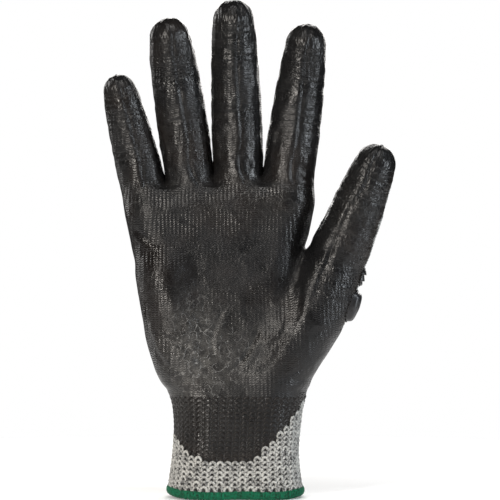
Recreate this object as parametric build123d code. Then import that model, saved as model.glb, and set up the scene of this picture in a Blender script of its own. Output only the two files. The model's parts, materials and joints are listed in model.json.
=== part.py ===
from build123d import *
import math
import os

# Cut resistant glove, right hand, size 9, as worn: fingers up, palm facing -Y.
#
# A seamless knitted liner runs from a ribbed cuff to five finger stalls. The palm side carries a dipped
# nitrile coat, the back carries moulded rubber impact guards, and a green overlock hem closes the cuff.
# The liner, coat and guards are split where the hand inside bends, so that each stretch of fabric between
# two knuckles is one body. Millimetres, +Z towards the fingertips, origin at the centre of the cuff's mouth.

# ---- walls ------------------------------------------------------------------------------------------
LINER = 1.3  # knitted wall
COAT = 0.6  # nitrile film on the palm side
GUARD = 2.8  # height of a moulded guard on a finger
BACK_GUARD = 3.6  # height of the guards on the back of the hand
JOINT_GAP = 0.5  # clearance left at every bend line

# ---- how far each bend goes, in degrees (flexion, extension) -------------------------------------------
WRIST_BEND = (35, 35)
BASE_BEND = (70, 15)
MIDDLE_BEND = (80, 0)
END_BEND = (48, 0)
THUMB_SWING = (30, 10)
THUMB_BASE_BEND = (12, 10)
THUMB_END_BEND = (45, 5)
AXIS_DEPTH = 0.45  # a bend's axis lies this share of the finger's radius towards the palm side
AXIS_LEAN = 0.5  # a bend's axis follows this share of the finger's lean, so that the fingers fold side by side

# ---- cuff and palm: height, centre across, half width, half depth --------------------------------------
CUFF_SECTIONS = [(0, -0.5, 34, 22.5), (12, -0.5, 32.8, 21.8), (30, -0.3, 31.8, 20.8), (60, 0, 34.5, 20.8)]
PALM_SECTIONS = [
    (34, -0.3, 31.9, 20.7),
    (50, 0, 33.6, 20.6),
    (64, -1.9, 37.8, 19.8),
    (88, -4.5, 41.9, 17.6),
    (120, -7.3, 42.5, 15),
    (147, -9.4, 45.4, 10.9),
    (149, -9.4, 45.4, 10.7),
]
PALM_TOP = 147
WRIST_HEIGHT = 47
HEM_HEIGHT = 3.8
HEM_OUTWARD = 1.6
COAT_EDGE_RADIUS = 36  # the coat ends on the cuff in a round scoop
COAT_EDGE_CENTRE = (-2, 60.5)
COAT_BACK = 3.5  # the coat wraps this far past the middle of the hand's depth
COAT_TO_GUARD = 0.4  # left between the edge of the coat and a guard
ELASTIC_RADIUS = 0.35
ELASTIC_HEIGHTS = [9 + 4.8 * k for k in range(6)]

# ---- fingers: base, sideways lean, the lengths between bends and to the tip's centre, radii -------------
CURL = (3, 7, 6)  # rest bend at each of a finger's three bend lines
FINGERS = {
    "index": dict(base=(26.5, 0.5, 167), lean=7.6, lengths=(23.2, 21.5, 16), radii=(11.9, 11.6, 10.4, 9.6)),
    "middle": dict(base=(0.4, 0.5, 169), lean=-1.7, lengths=(26, 26.4, 17.8), radii=(11.7, 11.6, 10.7, 9.9)),
    "ring": dict(base=(-24.8, 0.5, 168), lean=-8, lengths=(22.8, 23.6, 16.3), radii=(11.3, 11.5, 10.9, 9.9)),
    "little": dict(base=(-47.4, 0.5, 157), lean=-13.6, lengths=(19, 17.8, 11.4), radii=(10.6, 9.8, 8.7, 7.5)),
}
ROOT_LENGTH = 30  # how far a finger's round root runs down into the palm

# ---- thumb -----------------------------------------------------------------------------------------------
THUMB_HEEL = (19, -5, 62)
THUMB_BALL = (37.5, -7, 90)
THUMB_WEB = (49.5, -8, 118.5)
THUMB_KNUCKLE = (55.2, -10, 131.5)
THUMB_BEND = (63.2, -12.5, 152)
THUMB_TIP = (68.8, -15.5, 166)
THUMB_POINTS = (THUMB_HEEL, THUMB_BALL, THUMB_WEB, THUMB_KNUCKLE, THUMB_BEND, THUMB_TIP)
THUMB_RADII = (15, 15.4, 13.7, 12.9, 11.2, 9.6)
THUMB_PAD = (-0.55, -0.84, 0)  # the way the thumb's pad faces
THUMB_RISE = (0.6, 0, 0.8)  # square to the line across the thumb's root, from the web to the outside

# ---- guards ----------------------------------------------------------------------------------------------
KNUCKLES = {"index": (26.5, 138.5), "middle": (2.2, 141), "ring": (-21, 137), "little": (-41.5, 129.5)}
KNUCKLE_RADIUS = 10.2  # of the round boss over a knuckle
KNUCKLE_NECK = 9  # width of the necks that join the bosses
METACARPAL_GAP = 1.6  # between a boss and the long guard below it
METACARPAL_LENGTH = 44
METACARPAL_WIDTH = 9
METACARPAL_FAN = 0.62  # the long guards draw together towards the wrist by this share
FINGER_GUARD_WIDTH = 1.3  # of the finger's radius
FINGER_GUARD_START = 0.14  # of the length between two bends
FINGER_GUARD_LENGTH = 0.76
FINGER_GUARD_GROOVES = 3
GROOVE_RADIUS = 0.7
THUMB_GUARD = 3.6  # height of the thumb's guards
THUMB_PADS = {"base": (17, 1.5, 10, 3), "middle": (15, 4, 13, 2)}  # width, start, length, grooves
HEEL_PAD_WIDTH, HEEL_PAD_LENGTH = 20, 21
HEEL_PAD_START = -1  # from the ball of the thumb, along its root

REACH = 150  # larger than any part: the size of the cutting blocks


def vector(point):
    return Vector(*point)


def limb(start, end, start_radius, end_radius):
    """A round tapered bar between two points."""
    run = vector(end) - vector(start)
    place = Plane(origin=vector(start), z_dir=run)
    if abs(start_radius - end_radius) < 1e-6:
        return Solid.make_cylinder(start_radius, run.length, place)
    return Solid.make_cone(start_radius, end_radius, run.length, place)


def ball(centre, radius):
    return Pos(*centre) * Sphere(radius)


def chain(points, radii, grow=0.0):
    """Tapered bars joined by balls, round at the last point, every surface moved out by grow."""
    body = ball(points[-1], radii[-1] + grow)
    for (start, end), (a, b) in zip(zip(points, points[1:]), zip(radii, radii[1:])):
        body += limb(start, end, a + grow, b + grow)
    for centre, radius in list(zip(points, radii))[1:-1]:
        body += ball(centre, radius + grow)
    return body


def tube_through(sections, grow=0.0):
    """A smooth loft of flat-sided ovals."""
    faces = [Pos(x, 0, z) * SlotOverall(2 * (w + grow), 2 * (d + grow)) for z, x, w, d in sections]
    return loft(faces)


def bend_frame(point, towards, back):
    """The frame of a bend line: z along the limb, y to the back of the hand, x the axis of flexion."""
    z = vector(towards).normalized()
    y = (vector(back) - z * vector(back).dot(z)).normalized()
    return Plane(origin=vector(point), x_dir=y.cross(z), z_dir=z)


def wedge(frame, bend, keep_above, half_width=REACH):
    """The block that trims a body at a bend line, leaving a notch for the flexion and the extension."""
    flexion, extension = bend
    side = 1 if keep_above else -1
    notch = [REACH * math.tan(math.radians(angle / 2)) for angle in (flexion, extension)]
    outline = [
        (0, side * JOINT_GAP / 2),
        (-REACH, side * (JOINT_GAP / 2 + notch[0])),
        (-REACH, -side * REACH),
        (REACH, -side * REACH),
        (REACH, side * (JOINT_GAP / 2 + notch[1])),
    ]
    across = Plane(origin=frame.origin, x_dir=frame.y_dir, z_dir=frame.x_dir)
    profile = across * make_face(Polyline(*[(y, z) for y, z in outline], close=True).edges())
    return extrude(profile, amount=half_width, both=True)


def block(low, high):
    size = [b - a for a, b in zip(low, high)]
    return Pos(*[(a + b) / 2 for a, b in zip(low, high)]) * Box(*size)


def finger_points(spec):
    """The bend points of a finger and its tip's centre, leaning sideways and curling to the palm side."""
    lean = math.radians(spec["lean"])
    points, bend = [spec["base"]], 0
    for length, curl in zip(spec["lengths"], CURL):
        bend += math.radians(curl)
        x, y, z = points[-1]
        along = length * math.cos(bend)
        points.append((x + along * math.sin(lean), y - length * math.sin(bend), z + along * math.cos(lean)))
    return points


def finger_frames(spec):
    """One bend frame at each of a finger's three bend lines."""
    lean = math.radians(spec["lean"] * AXIS_LEAN)
    frames, bend = [], 0
    for point, radius, curl in zip(finger_points(spec), spec["radii"], CURL):
        tilt = math.radians(bend + curl / 2)
        bend += curl
        along = (math.cos(tilt) * math.sin(lean), -math.sin(tilt), math.cos(tilt) * math.cos(lean))
        frame = bend_frame(point, along, (0, 1, 0))
        frame.origin = frame.origin - frame.y_dir * AXIS_DEPTH * radius
        frames.append(frame)
    return frames


def finger_body(spec, grow=0.0):
    """A finger's whole outside, from its root in the palm to its tip."""
    points = finger_points(spec)
    lean = math.radians(spec["lean"])
    x, y, z = points[0]
    root = (x - ROOT_LENGTH * math.sin(lean), y, z - ROOT_LENGTH * math.cos(lean))
    radii = spec["radii"]
    return chain([root, *points], (radii[0], *radii), grow)


def thumb_frames():
    """The line across the thumb's root, its knuckle and its last bend."""
    back = vector(THUMB_PAD) * -1
    root = bend_frame(THUMB_WEB, THUMB_RISE, (0, 1, 0))
    knuckle = bend_frame(THUMB_KNUCKLE, vector(THUMB_BEND) - vector(THUMB_WEB), back)
    end = bend_frame(THUMB_BEND, vector(THUMB_TIP) - vector(THUMB_KNUCKLE), back)
    frames = [root, knuckle, end]
    for frame, radius in zip(frames, THUMB_RADII[2:]):
        frame.origin = frame.origin - frame.y_dir * AXIS_DEPTH * radius
    return frames


def thumb_body(grow=0.0):
    return chain(THUMB_POINTS, THUMB_RADII, grow) + ball(THUMB_HEEL, THUMB_RADII[0] + grow)


def palm_body(grow=0.0):
    """The hand from the wrist up, closed between the four finger roots, with the thumb's root."""
    body = tube_through(PALM_SECTIONS, grow) & block((-REACH, -REACH, 0), (REACH, REACH, PALM_TOP + grow))
    for spec in FINGERS.values():
        body += finger_body(spec, grow)
    return body + thumb_body(grow)


def palm_side(frame):
    """The block on the palm side of a limb, up to the edge of its coat."""
    return frame * (Pos(0, COAT_BACK - REACH, 0) * Box(2 * REACH, 2 * REACH, 4 * REACH))


def guard_pad(frame, shell, width, length, ridges, ridge_depth):
    """A moulded guard cut from a shell on the back of a limb: rounded, with shallow grooves across it.

    The frame's origin is the pad's foot on the limb's middle line, z along the limb, y to the back.
    """
    back = Plane(origin=frame.origin, x_dir=frame.x_dir, z_dir=frame.y_dir)
    outline = Pos(0, -length / 2) * RectangleRounded(width, length, min(width, length) * 0.32)
    pad = shell & extrude(back * outline, amount=REACH / 3)
    for index in range(ridges):
        along = length * (index + 1) / (ridges + 1)
        groove = frame * (Pos(0, ridge_depth, along) * (Rot(0, 90, 0) * Cylinder(GROOVE_RADIUS, REACH)))
        pad -= groove
    return pad


def biggest(shape):
    """The largest solid of a shape, without crumbs left by a cut."""
    return max(shape.solids(), key=lambda solid: solid.volume)


def trimmed(shape, trims):
    for trim in trims:
        shape -= trim
    return shape


def back_prism(outline):
    """An outline in the plane of the hand, drawn through the back."""
    upright = Plane(origin=(0, 0, 0), x_dir=(1, 0, 0), z_dir=(0, -1, 0))
    return extrude(upright * outline, amount=-REACH)


def elastic_ring(height):
    """A rubber thread against the inside of the cuff's wall."""
    level = block((-REACH, -REACH, height - ELASTIC_RADIUS), (REACH, REACH, height + ELASTIC_RADIUS))
    against_wall = tube_through(CUFF_SECTIONS, -LINER) & level
    return biggest(against_wall - tube_through(CUFF_SECTIONS, -LINER - 2 * ELASTIC_RADIUS))


def save(name, shape):
    export_step(shape, f"parts/{name}.step")


os.makedirs("parts", exist_ok=True)
front = block((-REACH, -REACH, -REACH), (REACH, COAT_BACK, 2 * REACH))

# ---- cuff --------------------------------------------------------------------------------------------------
wrist = bend_frame((0, 0, WRIST_HEIGHT), (0, 0, 1), (0, 1, 0))
cuff_trim = wedge(wrist, WRIST_BEND, keep_above=False)
hem_top = block((-REACH, -REACH, HEM_HEIGHT), (REACH, REACH, REACH))
cuff_outside = tube_through(CUFF_SECTIONS)
cuff_wall = cuff_outside - tube_through(CUFF_SECTIONS, -LINER)
save("cuff_liner", biggest((cuff_wall & hem_top) - cuff_trim))

scoop = Pos(COAT_EDGE_CENTRE[0], 0, COAT_EDGE_CENTRE[1]) * (Rot(90, 0, 0) * Cylinder(COAT_EDGE_RADIUS, REACH))
cuff_film = tube_through(CUFF_SECTIONS, COAT) - cuff_outside
save("cuff_coat", biggest((cuff_film & scoop & front) - cuff_trim))

_, hem_x, hem_half_width, hem_half_depth = CUFF_SECTIONS[0]
hem_ring = Pos(hem_x, 0) * (
    SlotOverall(2 * (hem_half_width + HEM_OUTWARD), 2 * (hem_half_depth + HEM_OUTWARD))
    - SlotOverall(2 * (hem_half_width - LINER - 0.9), 2 * (hem_half_depth - LINER - 0.9))
)
hem = extrude(hem_ring, amount=HEM_HEIGHT)
save("cuff_hem", fillet(hem.edges().filter_by(Plane.XY), 1.1))

save("cuff_elastic_threads", Compound(children=[elastic_ring(height) for height in ELASTIC_HEIGHTS]))

# ---- palm and back of the hand -----------------------------------------------------------------------------
thumb_root, thumb_knuckle, thumb_end = thumb_frames()
palm_trims = [wedge(wrist, WRIST_BEND, keep_above=True)]
for spec in FINGERS.values():
    strip = spec["radii"][0] + 1.2
    palm_trims.append(wedge(finger_frames(spec)[0], BASE_BEND, keep_above=False, half_width=strip))
thumb_strip = THUMB_RADII[2] + 2.6
palm_trims.append(wedge(thumb_root, THUMB_SWING, keep_above=False, half_width=thumb_strip))

palm_outside = palm_body()
palm_inside = palm_body(-LINER)

save("palm_liner", biggest(trimmed(palm_outside - palm_inside, palm_trims)))
palm_front = block((-REACH, -REACH, -REACH), (REACH, COAT_BACK, COAT_EDGE_CENTRE[1])) & scoop
palm_front += block((-REACH, -REACH, COAT_EDGE_CENTRE[1]), (REACH, COAT_BACK, 2 * REACH))
palm_film = (palm_body(COAT) - palm_outside) & palm_front
save("palm_coat", biggest(trimmed(palm_film, palm_trims)))

back_shell = tube_through(PALM_SECTIONS, BACK_GUARD) - palm_outside
back_side = block((-REACH, COAT_BACK + COAT_TO_GUARD, 0), (REACH, REACH, 2 * REACH))

# The knuckle guard is one moulding: four round bosses joined by necks.
knuckle_outline = Sketch()
centres = list(KNUCKLES.values())
for x, z in centres:
    knuckle_outline += Pos(x, z) * Circle(KNUCKLE_RADIUS)
for (x1, z1), (x2, z2) in zip(centres, centres[1:]):
    turn = math.degrees(math.atan2(z2 - z1, x2 - x1))
    neck = Rot(0, 0, turn) * Rectangle(math.hypot(x2 - x1, z2 - z1), KNUCKLE_NECK)
    knuckle_outline += Pos((x1 + x2) / 2, (z1 + z2) / 2) * neck
knuckle_guard = (back_shell & back_side) & back_prism(knuckle_outline)
save("knuckle_guard", biggest(trimmed(knuckle_guard, palm_trims)))

for name, (knuckle_x, knuckle_z) in KNUCKLES.items():
    top = (knuckle_x, knuckle_z - KNUCKLE_RADIUS - METACARPAL_GAP)
    foot = (knuckle_x * METACARPAL_FAN - 1.0, top[1] - METACARPAL_LENGTH)
    turn = math.degrees(math.atan2(top[1] - foot[1], top[0] - foot[0]))
    run = math.hypot(top[0] - foot[0], top[1] - foot[1])
    bar = Rot(0, 0, turn) * SlotOverall(run, METACARPAL_WIDTH)
    bar_prism = back_prism(Pos((top[0] + foot[0]) / 2, (top[1] + foot[1]) / 2) * bar)
    metacarpal = (back_shell & back_side) & bar_prism
    save(f"back_guard_{name}", biggest(trimmed(metacarpal, palm_trims)))

# ---- fingers -----------------------------------------------------------------------------------------------
SEGMENTS = ("base", "middle", "tip")
BENDS = (BASE_BEND, MIDDLE_BEND, END_BEND)
for name, spec in FINGERS.items():
    outside = finger_body(spec)
    wall = outside - finger_body(spec, -LINER)
    film = finger_body(spec, COAT) - outside
    shell = finger_body(spec, GUARD) - outside
    frames = finger_frames(spec)
    points = finger_points(spec)
    tip_wrap = frames[2] * (Pos(0, 0, spec["lengths"][2] * 0.55 + REACH / 2) * Box(REACH, REACH, REACH))
    for index, segment in enumerate(SEGMENTS):
        trims = [wedge(frames[index], BENDS[index], keep_above=True)]
        if index < 2:
            trims.append(wedge(frames[index + 1], BENDS[index + 1], keep_above=False))
        save(f"{name}_{segment}_liner", biggest(trimmed(wall, trims)))
        length = spec["lengths"][index]
        run = vector(points[index + 1]) - vector(points[index])
        coated = palm_side(bend_frame(points[index], run, (0, 1, 0)))
        if segment == "tip":
            coated += tip_wrap
        save(f"{name}_{segment}_coat", biggest(trimmed(film & coated, trims)))
        if index < 2:
            foot = bend_frame(vector(points[index]) + run * FINGER_GUARD_START, run, (0, 1, 0))
            radius = spec["radii"][index]
            width, pad_length = FINGER_GUARD_WIDTH * radius, FINGER_GUARD_LENGTH * length
            pad = guard_pad(foot, shell, width, pad_length, FINGER_GUARD_GROOVES, radius + GUARD)
            save(f"{name}_{segment}_guard", biggest(trimmed(pad, trims)))

# ---- thumb -------------------------------------------------------------------------------------------------
thumb_outside = thumb_body()
thumb_wall = thumb_outside - thumb_body(-LINER)
thumb_film = thumb_body(COAT) - thumb_outside
thumb_shell = thumb_body(THUMB_GUARD) - thumb_outside
thumb_back = vector(THUMB_PAD) * -1
thumb_cuts = [
    ("base", thumb_root, THUMB_SWING, thumb_knuckle, THUMB_BASE_BEND),
    ("middle", thumb_knuckle, THUMB_BASE_BEND, thumb_end, THUMB_END_BEND),
    ("tip", thumb_end, THUMB_END_BEND, None, None),
]
for index, (segment, low, low_bend, high, high_bend) in enumerate(thumb_cuts):
    trims = [wedge(low, low_bend, keep_above=True)]
    if high:
        trims.append(wedge(high, high_bend, keep_above=False))
    start, end = THUMB_POINTS[index + 2], THUMB_POINTS[index + 3]
    run = vector(end) - vector(start)
    coated = palm_side(bend_frame(start, run, thumb_back))
    if segment == "tip":
        coated += thumb_end * (Pos(0, 0, 10 + REACH / 2) * Box(REACH, REACH, REACH))
    save(f"thumb_{segment}_liner", biggest(trimmed(thumb_wall, trims)))
    save(f"thumb_{segment}_coat", biggest(trimmed(thumb_film & coated, trims)))
    if segment in THUMB_PADS:
        width, first, length, grooves = THUMB_PADS[segment]
        foot = bend_frame(vector(start) + run.normalized() * first, run, thumb_back)
        radius = THUMB_RADII[index + 2]
        pad = guard_pad(foot, thumb_shell, width, length, grooves, radius + THUMB_GUARD)
        save(f"thumb_{segment}_guard", biggest(trimmed(pad, trims)))

# The rounded guard below the thumb's root, on the outer edge of the hand.
heel_run = vector(THUMB_WEB) - vector(THUMB_BALL)
heel_foot = bend_frame(vector(THUMB_BALL) + heel_run.normalized() * HEEL_PAD_START, heel_run, (1, 1, 0))
heel_pad = guard_pad(heel_foot, thumb_shell - palm_outside, HEEL_PAD_WIDTH, HEEL_PAD_LENGTH, 0, 0)
save("thumb_heel_guard", biggest(trimmed(heel_pad & back_side, palm_trims)))
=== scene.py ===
import json
import math
import bpy
import numpy as np
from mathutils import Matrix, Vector
from mathutils.bvhtree import BVHTree


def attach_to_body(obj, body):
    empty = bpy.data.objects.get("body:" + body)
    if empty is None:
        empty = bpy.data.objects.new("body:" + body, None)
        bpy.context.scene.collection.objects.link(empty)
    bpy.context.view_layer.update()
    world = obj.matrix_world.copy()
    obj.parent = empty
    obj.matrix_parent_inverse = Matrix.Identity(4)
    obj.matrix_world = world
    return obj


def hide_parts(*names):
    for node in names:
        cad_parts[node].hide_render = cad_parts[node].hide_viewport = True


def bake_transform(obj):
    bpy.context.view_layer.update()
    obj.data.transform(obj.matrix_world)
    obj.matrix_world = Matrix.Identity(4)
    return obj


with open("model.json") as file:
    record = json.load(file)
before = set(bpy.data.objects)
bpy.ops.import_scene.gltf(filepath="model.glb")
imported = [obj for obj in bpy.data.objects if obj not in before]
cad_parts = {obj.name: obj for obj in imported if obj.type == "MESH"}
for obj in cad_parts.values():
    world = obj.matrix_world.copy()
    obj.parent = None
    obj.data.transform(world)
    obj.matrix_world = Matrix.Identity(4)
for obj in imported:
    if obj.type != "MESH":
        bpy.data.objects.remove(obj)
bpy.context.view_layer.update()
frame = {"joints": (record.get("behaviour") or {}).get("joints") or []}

# %% [markdown]
# # A cut resistant glove
#
# The glove is a knitted liner with a dipped nitrile palm and moulded rubber guards on its back.
# It is shown filled by a hand, so its shape is made the way a sculptor makes a hand: a set of tapered limbs
# melts into a palm, and one skin is drawn over all of it.
# Everything else is laid on that skin: the rubber coat, the loops of yarn, the guards and the hem.
#
# Lengths are written in millimetres and turned into metres when a mesh is made.

# %% [markdown]
# ## Camera, light and floor
#
# The glove is seen square on, palm towards the lens, from far enough away that the hem and the fingertips are
# both seen straight. A warm soft light from the left and a cooler one from the right put a pale band
# down each side of every finger, which is what shows their roundness on a black coat.

# %% Studio
scene = bpy.context.scene
scene.view_settings.view_transform = "Standard"
camera = bpy.data.objects.new("camera", bpy.data.cameras.new("camera"))
scene.collection.objects.link(camera)
CAMERA_DISTANCE = 1.3
VIEW_HEIGHT = 0.2515
SENSOR = 36
camera.data.sensor_width = SENSOR
camera.data.lens = SENSOR * CAMERA_DISTANCE / VIEW_HEIGHT
camera.location = (0.0065, -CAMERA_DISTANCE, 0.1238)
camera.rotation_euler = (math.radians(90), 0, 0)
scene.camera = camera


def soft_light(name, place, aim, size, power, colour):
    data = bpy.data.lights.new(name, "AREA")
    data.shape = "RECTANGLE"
    data.size, data.size_y = size
    data.energy = power
    data.color = colour
    light = bpy.data.objects.new(name, data)
    light.location = place
    light.rotation_euler = (Vector(aim) - Vector(place)).to_track_quat("-Z", "Y").to_euler()
    scene.collection.objects.link(light)


soft_light("key_left", (-0.66, -1.05, 0.4), (0, 0, 0.13), (0.1, 0.7), 14.0, (1.0, 0.94, 0.87))
soft_light("strip_right", (1.05, -0.5, 0.3), (0, 0, 0.12), (0.14, 0.9), 9.0, (0.88, 0.94, 1.0))
soft_light("top", (0.1, -0.7, 1.3), (0, 0, 0.1), (0.6, 0.4), 5.0, (1.0, 0.98, 0.96))
soft_light("behind", (0.1, 0.95, 0.55), (0, 0, 0.12), (0.9, 0.6), 10.0, (1.0, 0.98, 0.96))
soft_light("behind_left", (-0.9, 0.6, 0.5), (0, 0, 0.12), (0.3, 0.7), 3.5, (1.0, 0.98, 0.96))

world = bpy.data.worlds.new("studio")
scene.world = world
world.use_nodes = True
nodes, links = world.node_tree.nodes, world.node_tree.links
path_node = nodes.new("ShaderNodeLightPath")
strength = nodes.new("ShaderNodeMapRange")
strength.inputs["To Min"].default_value = 0.03
strength.inputs["To Max"].default_value = 1.0
links.new(path_node.outputs["Is Camera Ray"], strength.inputs["Value"])
links.new(strength.outputs[0], nodes["Background"].inputs["Strength"])
nodes["Background"].inputs["Color"].default_value = (1, 1, 1, 1)

floor_mesh = bpy.data.meshes.new("floor")
FLOOR_RADIUS, FLOOR_DROP, FLOOR_SIDES = 0.42, 0.0002, 64
round_floor = np.linspace(0, 2 * math.pi, FLOOR_SIDES, endpoint=False)
rim = [(FLOOR_RADIUS * math.cos(a), FLOOR_RADIUS * math.sin(a), -FLOOR_DROP) for a in round_floor]
floor_mesh.from_pydata(rim, [], [list(range(FLOOR_SIDES))])
floor = bpy.data.objects.new("floor", floor_mesh)
scene.collection.objects.link(floor)
floor_paint = bpy.data.materials.new("floor_paint")
floor_paint.use_nodes = True
floor_shader = floor_paint.node_tree.nodes["Principled BSDF"]
floor_shader.inputs["Base Color"].default_value = (0.9, 0.9, 0.9, 1)
floor_shader.inputs["Roughness"].default_value = 0.8
floor_shader.inputs["Emission Color"].default_value = (1, 1, 1, 1)
floor_shader.inputs["Emission Strength"].default_value = 0.15
floor_mesh.materials.append(floor_paint)

# %% Millimetres and small helpers
MM = 0.001
SEED = 7
LINER = 1.3
COAT = 0.6
FINGERS = ("index", "middle", "ring", "little")
ALL_LIMBS = (*FINGERS, "thumb")
joints = {joint["name"]: joint for joint in frame["joints"]}


def unit(v):
    v = np.asarray(v, float)
    return v / np.linalg.norm(v, axis=-1, keepdims=True)


def smoothstep(low, high, x):
    t = np.clip((x - low) / (high - low), 0, 1)
    return t * t * (3 - 2 * t)


def bump_at(x, centre, width):
    """A smooth hill of height 1 at centre."""
    return np.exp(-(((x - centre) / width) ** 2))


def lengths_along(points):
    """The distance from the first point to each point, along the line through them."""
    return np.append(0, np.cumsum(np.linalg.norm(np.diff(points, axis=0), axis=1)))


rng = np.random.RandomState(SEED)
LATTICE = rng.rand(32, 32, 32)


def noise(points, size, shift=0.0):
    """Smooth random values from -1 to 1, whose blobs are about size millimetres across."""
    q = np.asarray(points, float) / size + 100 + shift
    cell = np.floor(q).astype(int)
    t = q - cell
    t = t * t * (3 - 2 * t)
    total = 0
    for corner in np.ndindex(2, 2, 2):
        weight = np.prod([t[..., a] if corner[a] else 1 - t[..., a] for a in range(3)], axis=0)
        i, j, k = [(cell[..., a] + corner[a]) % 32 for a in range(3)]
        total = total + weight * LATTICE[i, j, k]
    return total * 2 - 1


def ridges(points, size, shift=0.0):
    """Thin winding ridges: 1 on a ridge line, falling to 0 away from it."""
    return np.clip(1 - 2.6 * np.abs(noise(points, size, shift)), 0, 1) ** 2


# %% [markdown]
# ## The limbs
#
# Each finger is a line of stations from its root to its tip, with a radius at each station.
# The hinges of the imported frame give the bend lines, so the stations sit where the CAD has its knuckles.
# The outline of a worn glove isn't a clean cone: it swells between the knuckles and pinches at them.

# %% Stations of the limbs
CURL = (3, 7, 6)  # degrees that each stretch of a finger bends further towards the palm
LIMBS = {  # root bend, lean from upright in degrees, lengths of the three stretches, radii from root to tip
    "index": ((26.5, 0.5, 167.0), 7.6, (23.2, 21.5, 16.4), (12.3, 11.8, 10.7, 9.6)),
    "middle": ((0.4, 0.5, 169.0), -1.7, (26.0, 26.4, 18.2), (12.0, 11.8, 10.9, 9.7)),
    "ring": ((-24.8, 0.5, 168.0), -8.0, (22.8, 23.6, 16.7), (11.8, 11.8, 11.1, 9.8)),
    "little": ((-47.4, 0.5, 157.0), -13.6, (19.0, 17.8, 11.6), (10.9, 10.1, 9.0, 7.6)),
}
ROOT = 32  # how far a finger's line runs down into the palm
THUMB_POINTS = (
    (19, -5, 62), (37.5, -7, 90), (49.5, -8, 118.5),
    (55.2, -10, 131.5), (63.2, -12.5, 152), (68.8, -15.5, 166.4),
)
THUMB_RADII = (15, 15.6, 14.1, 13.3, 11.6, 9.5)
THUMB_PAD = unit((-0.55, -0.84, 0))


def back_of(name):
    """The direction out of the back of a limb."""
    return -THUMB_PAD if name == "thumb" else np.array([0.0, 1, 0])


def finger_line(base, lean, lengths, radii):
    """The stations of a finger, from its root in the palm to the centre of its round tip."""
    lean = math.radians(lean)
    x, y, z = base
    points = [(x - ROOT * math.sin(lean), y, z - ROOT * math.cos(lean)), (x, y, z)]
    bend = 0
    for length, curl in zip(lengths, CURL):
        bend += math.radians(curl)
        x, y, z = points[-1]
        along = length * math.cos(bend)
        points.append((x + along * math.sin(lean), y - length * math.sin(bend), z + along * math.cos(lean)))
    return np.array(points), np.array((radii[0], *radii))


def smooth_line(points, radii, swell=0.35, parts=5):
    """A rounded path through the stations. Each stretch swells a little between two stations."""
    points = np.asarray(points, float)
    radii = np.asarray(radii, float)
    ends = np.vstack([2 * points[0] - points[1], points, 2 * points[-1] - points[-2]])
    path, sizes = [], []
    for i in range(len(points) - 1):
        a, b, c, d = ends[i : i + 4]
        for t in np.arange(parts) / parts:
            square, cube = 2 * a - 5 * b + 4 * c - d, 3 * b - a - 3 * c + d
            path.append(0.5 * (2 * b + (c - a) * t + square * t**2 + cube * t**3))
            sizes.append(radii[i] * (1 - t) + radii[i + 1] * t + swell * math.sin(math.pi * t) ** 2)
    return np.vstack([path, points[-1:]]), np.append(sizes, radii[-1])


lines = {name: finger_line(*spec) for name, spec in LIMBS.items()}
lines["thumb"] = (np.array(THUMB_POINTS, float), np.array(THUMB_RADII, float))
paths = {name: smooth_line(*line) for name, line in lines.items()}
print("limbs:", {name: len(path[0]) for name, path in paths.items()})


def limb_place(points, name):
    """Distance from the limb's path, its radius there, distance along it, and the nearest point on it."""
    path, sizes = paths[name]
    best = np.full(points.shape[:-1], 1e9)
    radius = np.zeros_like(best)
    along = np.zeros_like(best)
    centre = np.zeros(points.shape)
    start = 0.0
    for a, b, ra, rb in zip(path, path[1:], sizes, sizes[1:]):
        run = b - a
        length = np.linalg.norm(run)
        t = np.clip((points - a) @ run / length**2, 0, 1)
        near = a + t[..., None] * run
        gap = np.linalg.norm(points - near, axis=-1)
        size = ra + (rb - ra) * t
        closer = gap - size < best - radius
        best = np.where(closer, gap, best)
        radius = np.where(closer, size, radius)
        along = np.where(closer, start + t * length, along)
        centre = np.where(closer[..., None], near, centre)
        start += length
    return best, radius, along, centre


def limb_gaps(points):
    """How far points lie outside each limb, with one column for each limb."""
    columns = []
    for name in ALL_LIMBS:
        gap, radius, _, _ = limb_place(points, name)
        columns.append(gap - radius)
    return np.stack(columns, 1)


# %% [markdown]
# ## One skin over all the limbs
#
# A distance field is filled on a grid: negative inside the hand, positive outside.
# The palm is a stack of flat-sided ovals. Each finger melts into the palm on its own, and the fingers are then
# joined without melting, so that they stay apart as separate stalls right down to the crotch.
# A surface net places one vertex in every grid cell that the surface passes through.

# %% The distance field
STEP = 0.9
GRID_LOW = np.array([-78.0, -36.0, -2.0])
GRID_SIZE = (178, 72, 286)
CUFF_TOP = 58.0
PALM_TOP = 152
HEM_PLANE = 1.2
SECTIONS = np.array([  # height, centre across, half width, half depth, shift towards the back
    (0, -0.7, 33.6, 22.4, 0), (9, -1.0, 32.2, 21.6, 0), (17, -0.9, 31.2, 21.0, 0), (25, -0.6, 30.7, 20.6, 0),
    (33, -0.1, 30.8, 20.4, 0), (41, 0.3, 31.4, 20.4, 0), (50, 0.2, 32.6, 20.4, 0), (60, -1.8, 35.7, 19.8, 0),
    (76, -5.5, 38.8, 18.2, 0), (92, -6.8, 39.8, 16.8, 0.2), (108, -8.4, 40.7, 15.8, 0.4),
    (124, -8.8, 41.5, 14.8, 0.5), (134, -9.0, 42.0, 13.9, 0.5), (146, -8.9, 42.4, 12.4, 0.5),
    (156, -8.6, 41.0, 9.0, 0.5),
])


def ease(z, column):
    """A value of the sections at any height, rounded by averaging over a short stretch."""
    shifts = np.linspace(-5, 5, 9)
    return sum(np.interp(z + s, SECTIONS[:, 0], SECTIONS[:, column]) for s in shifts) / len(shifts)


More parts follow.
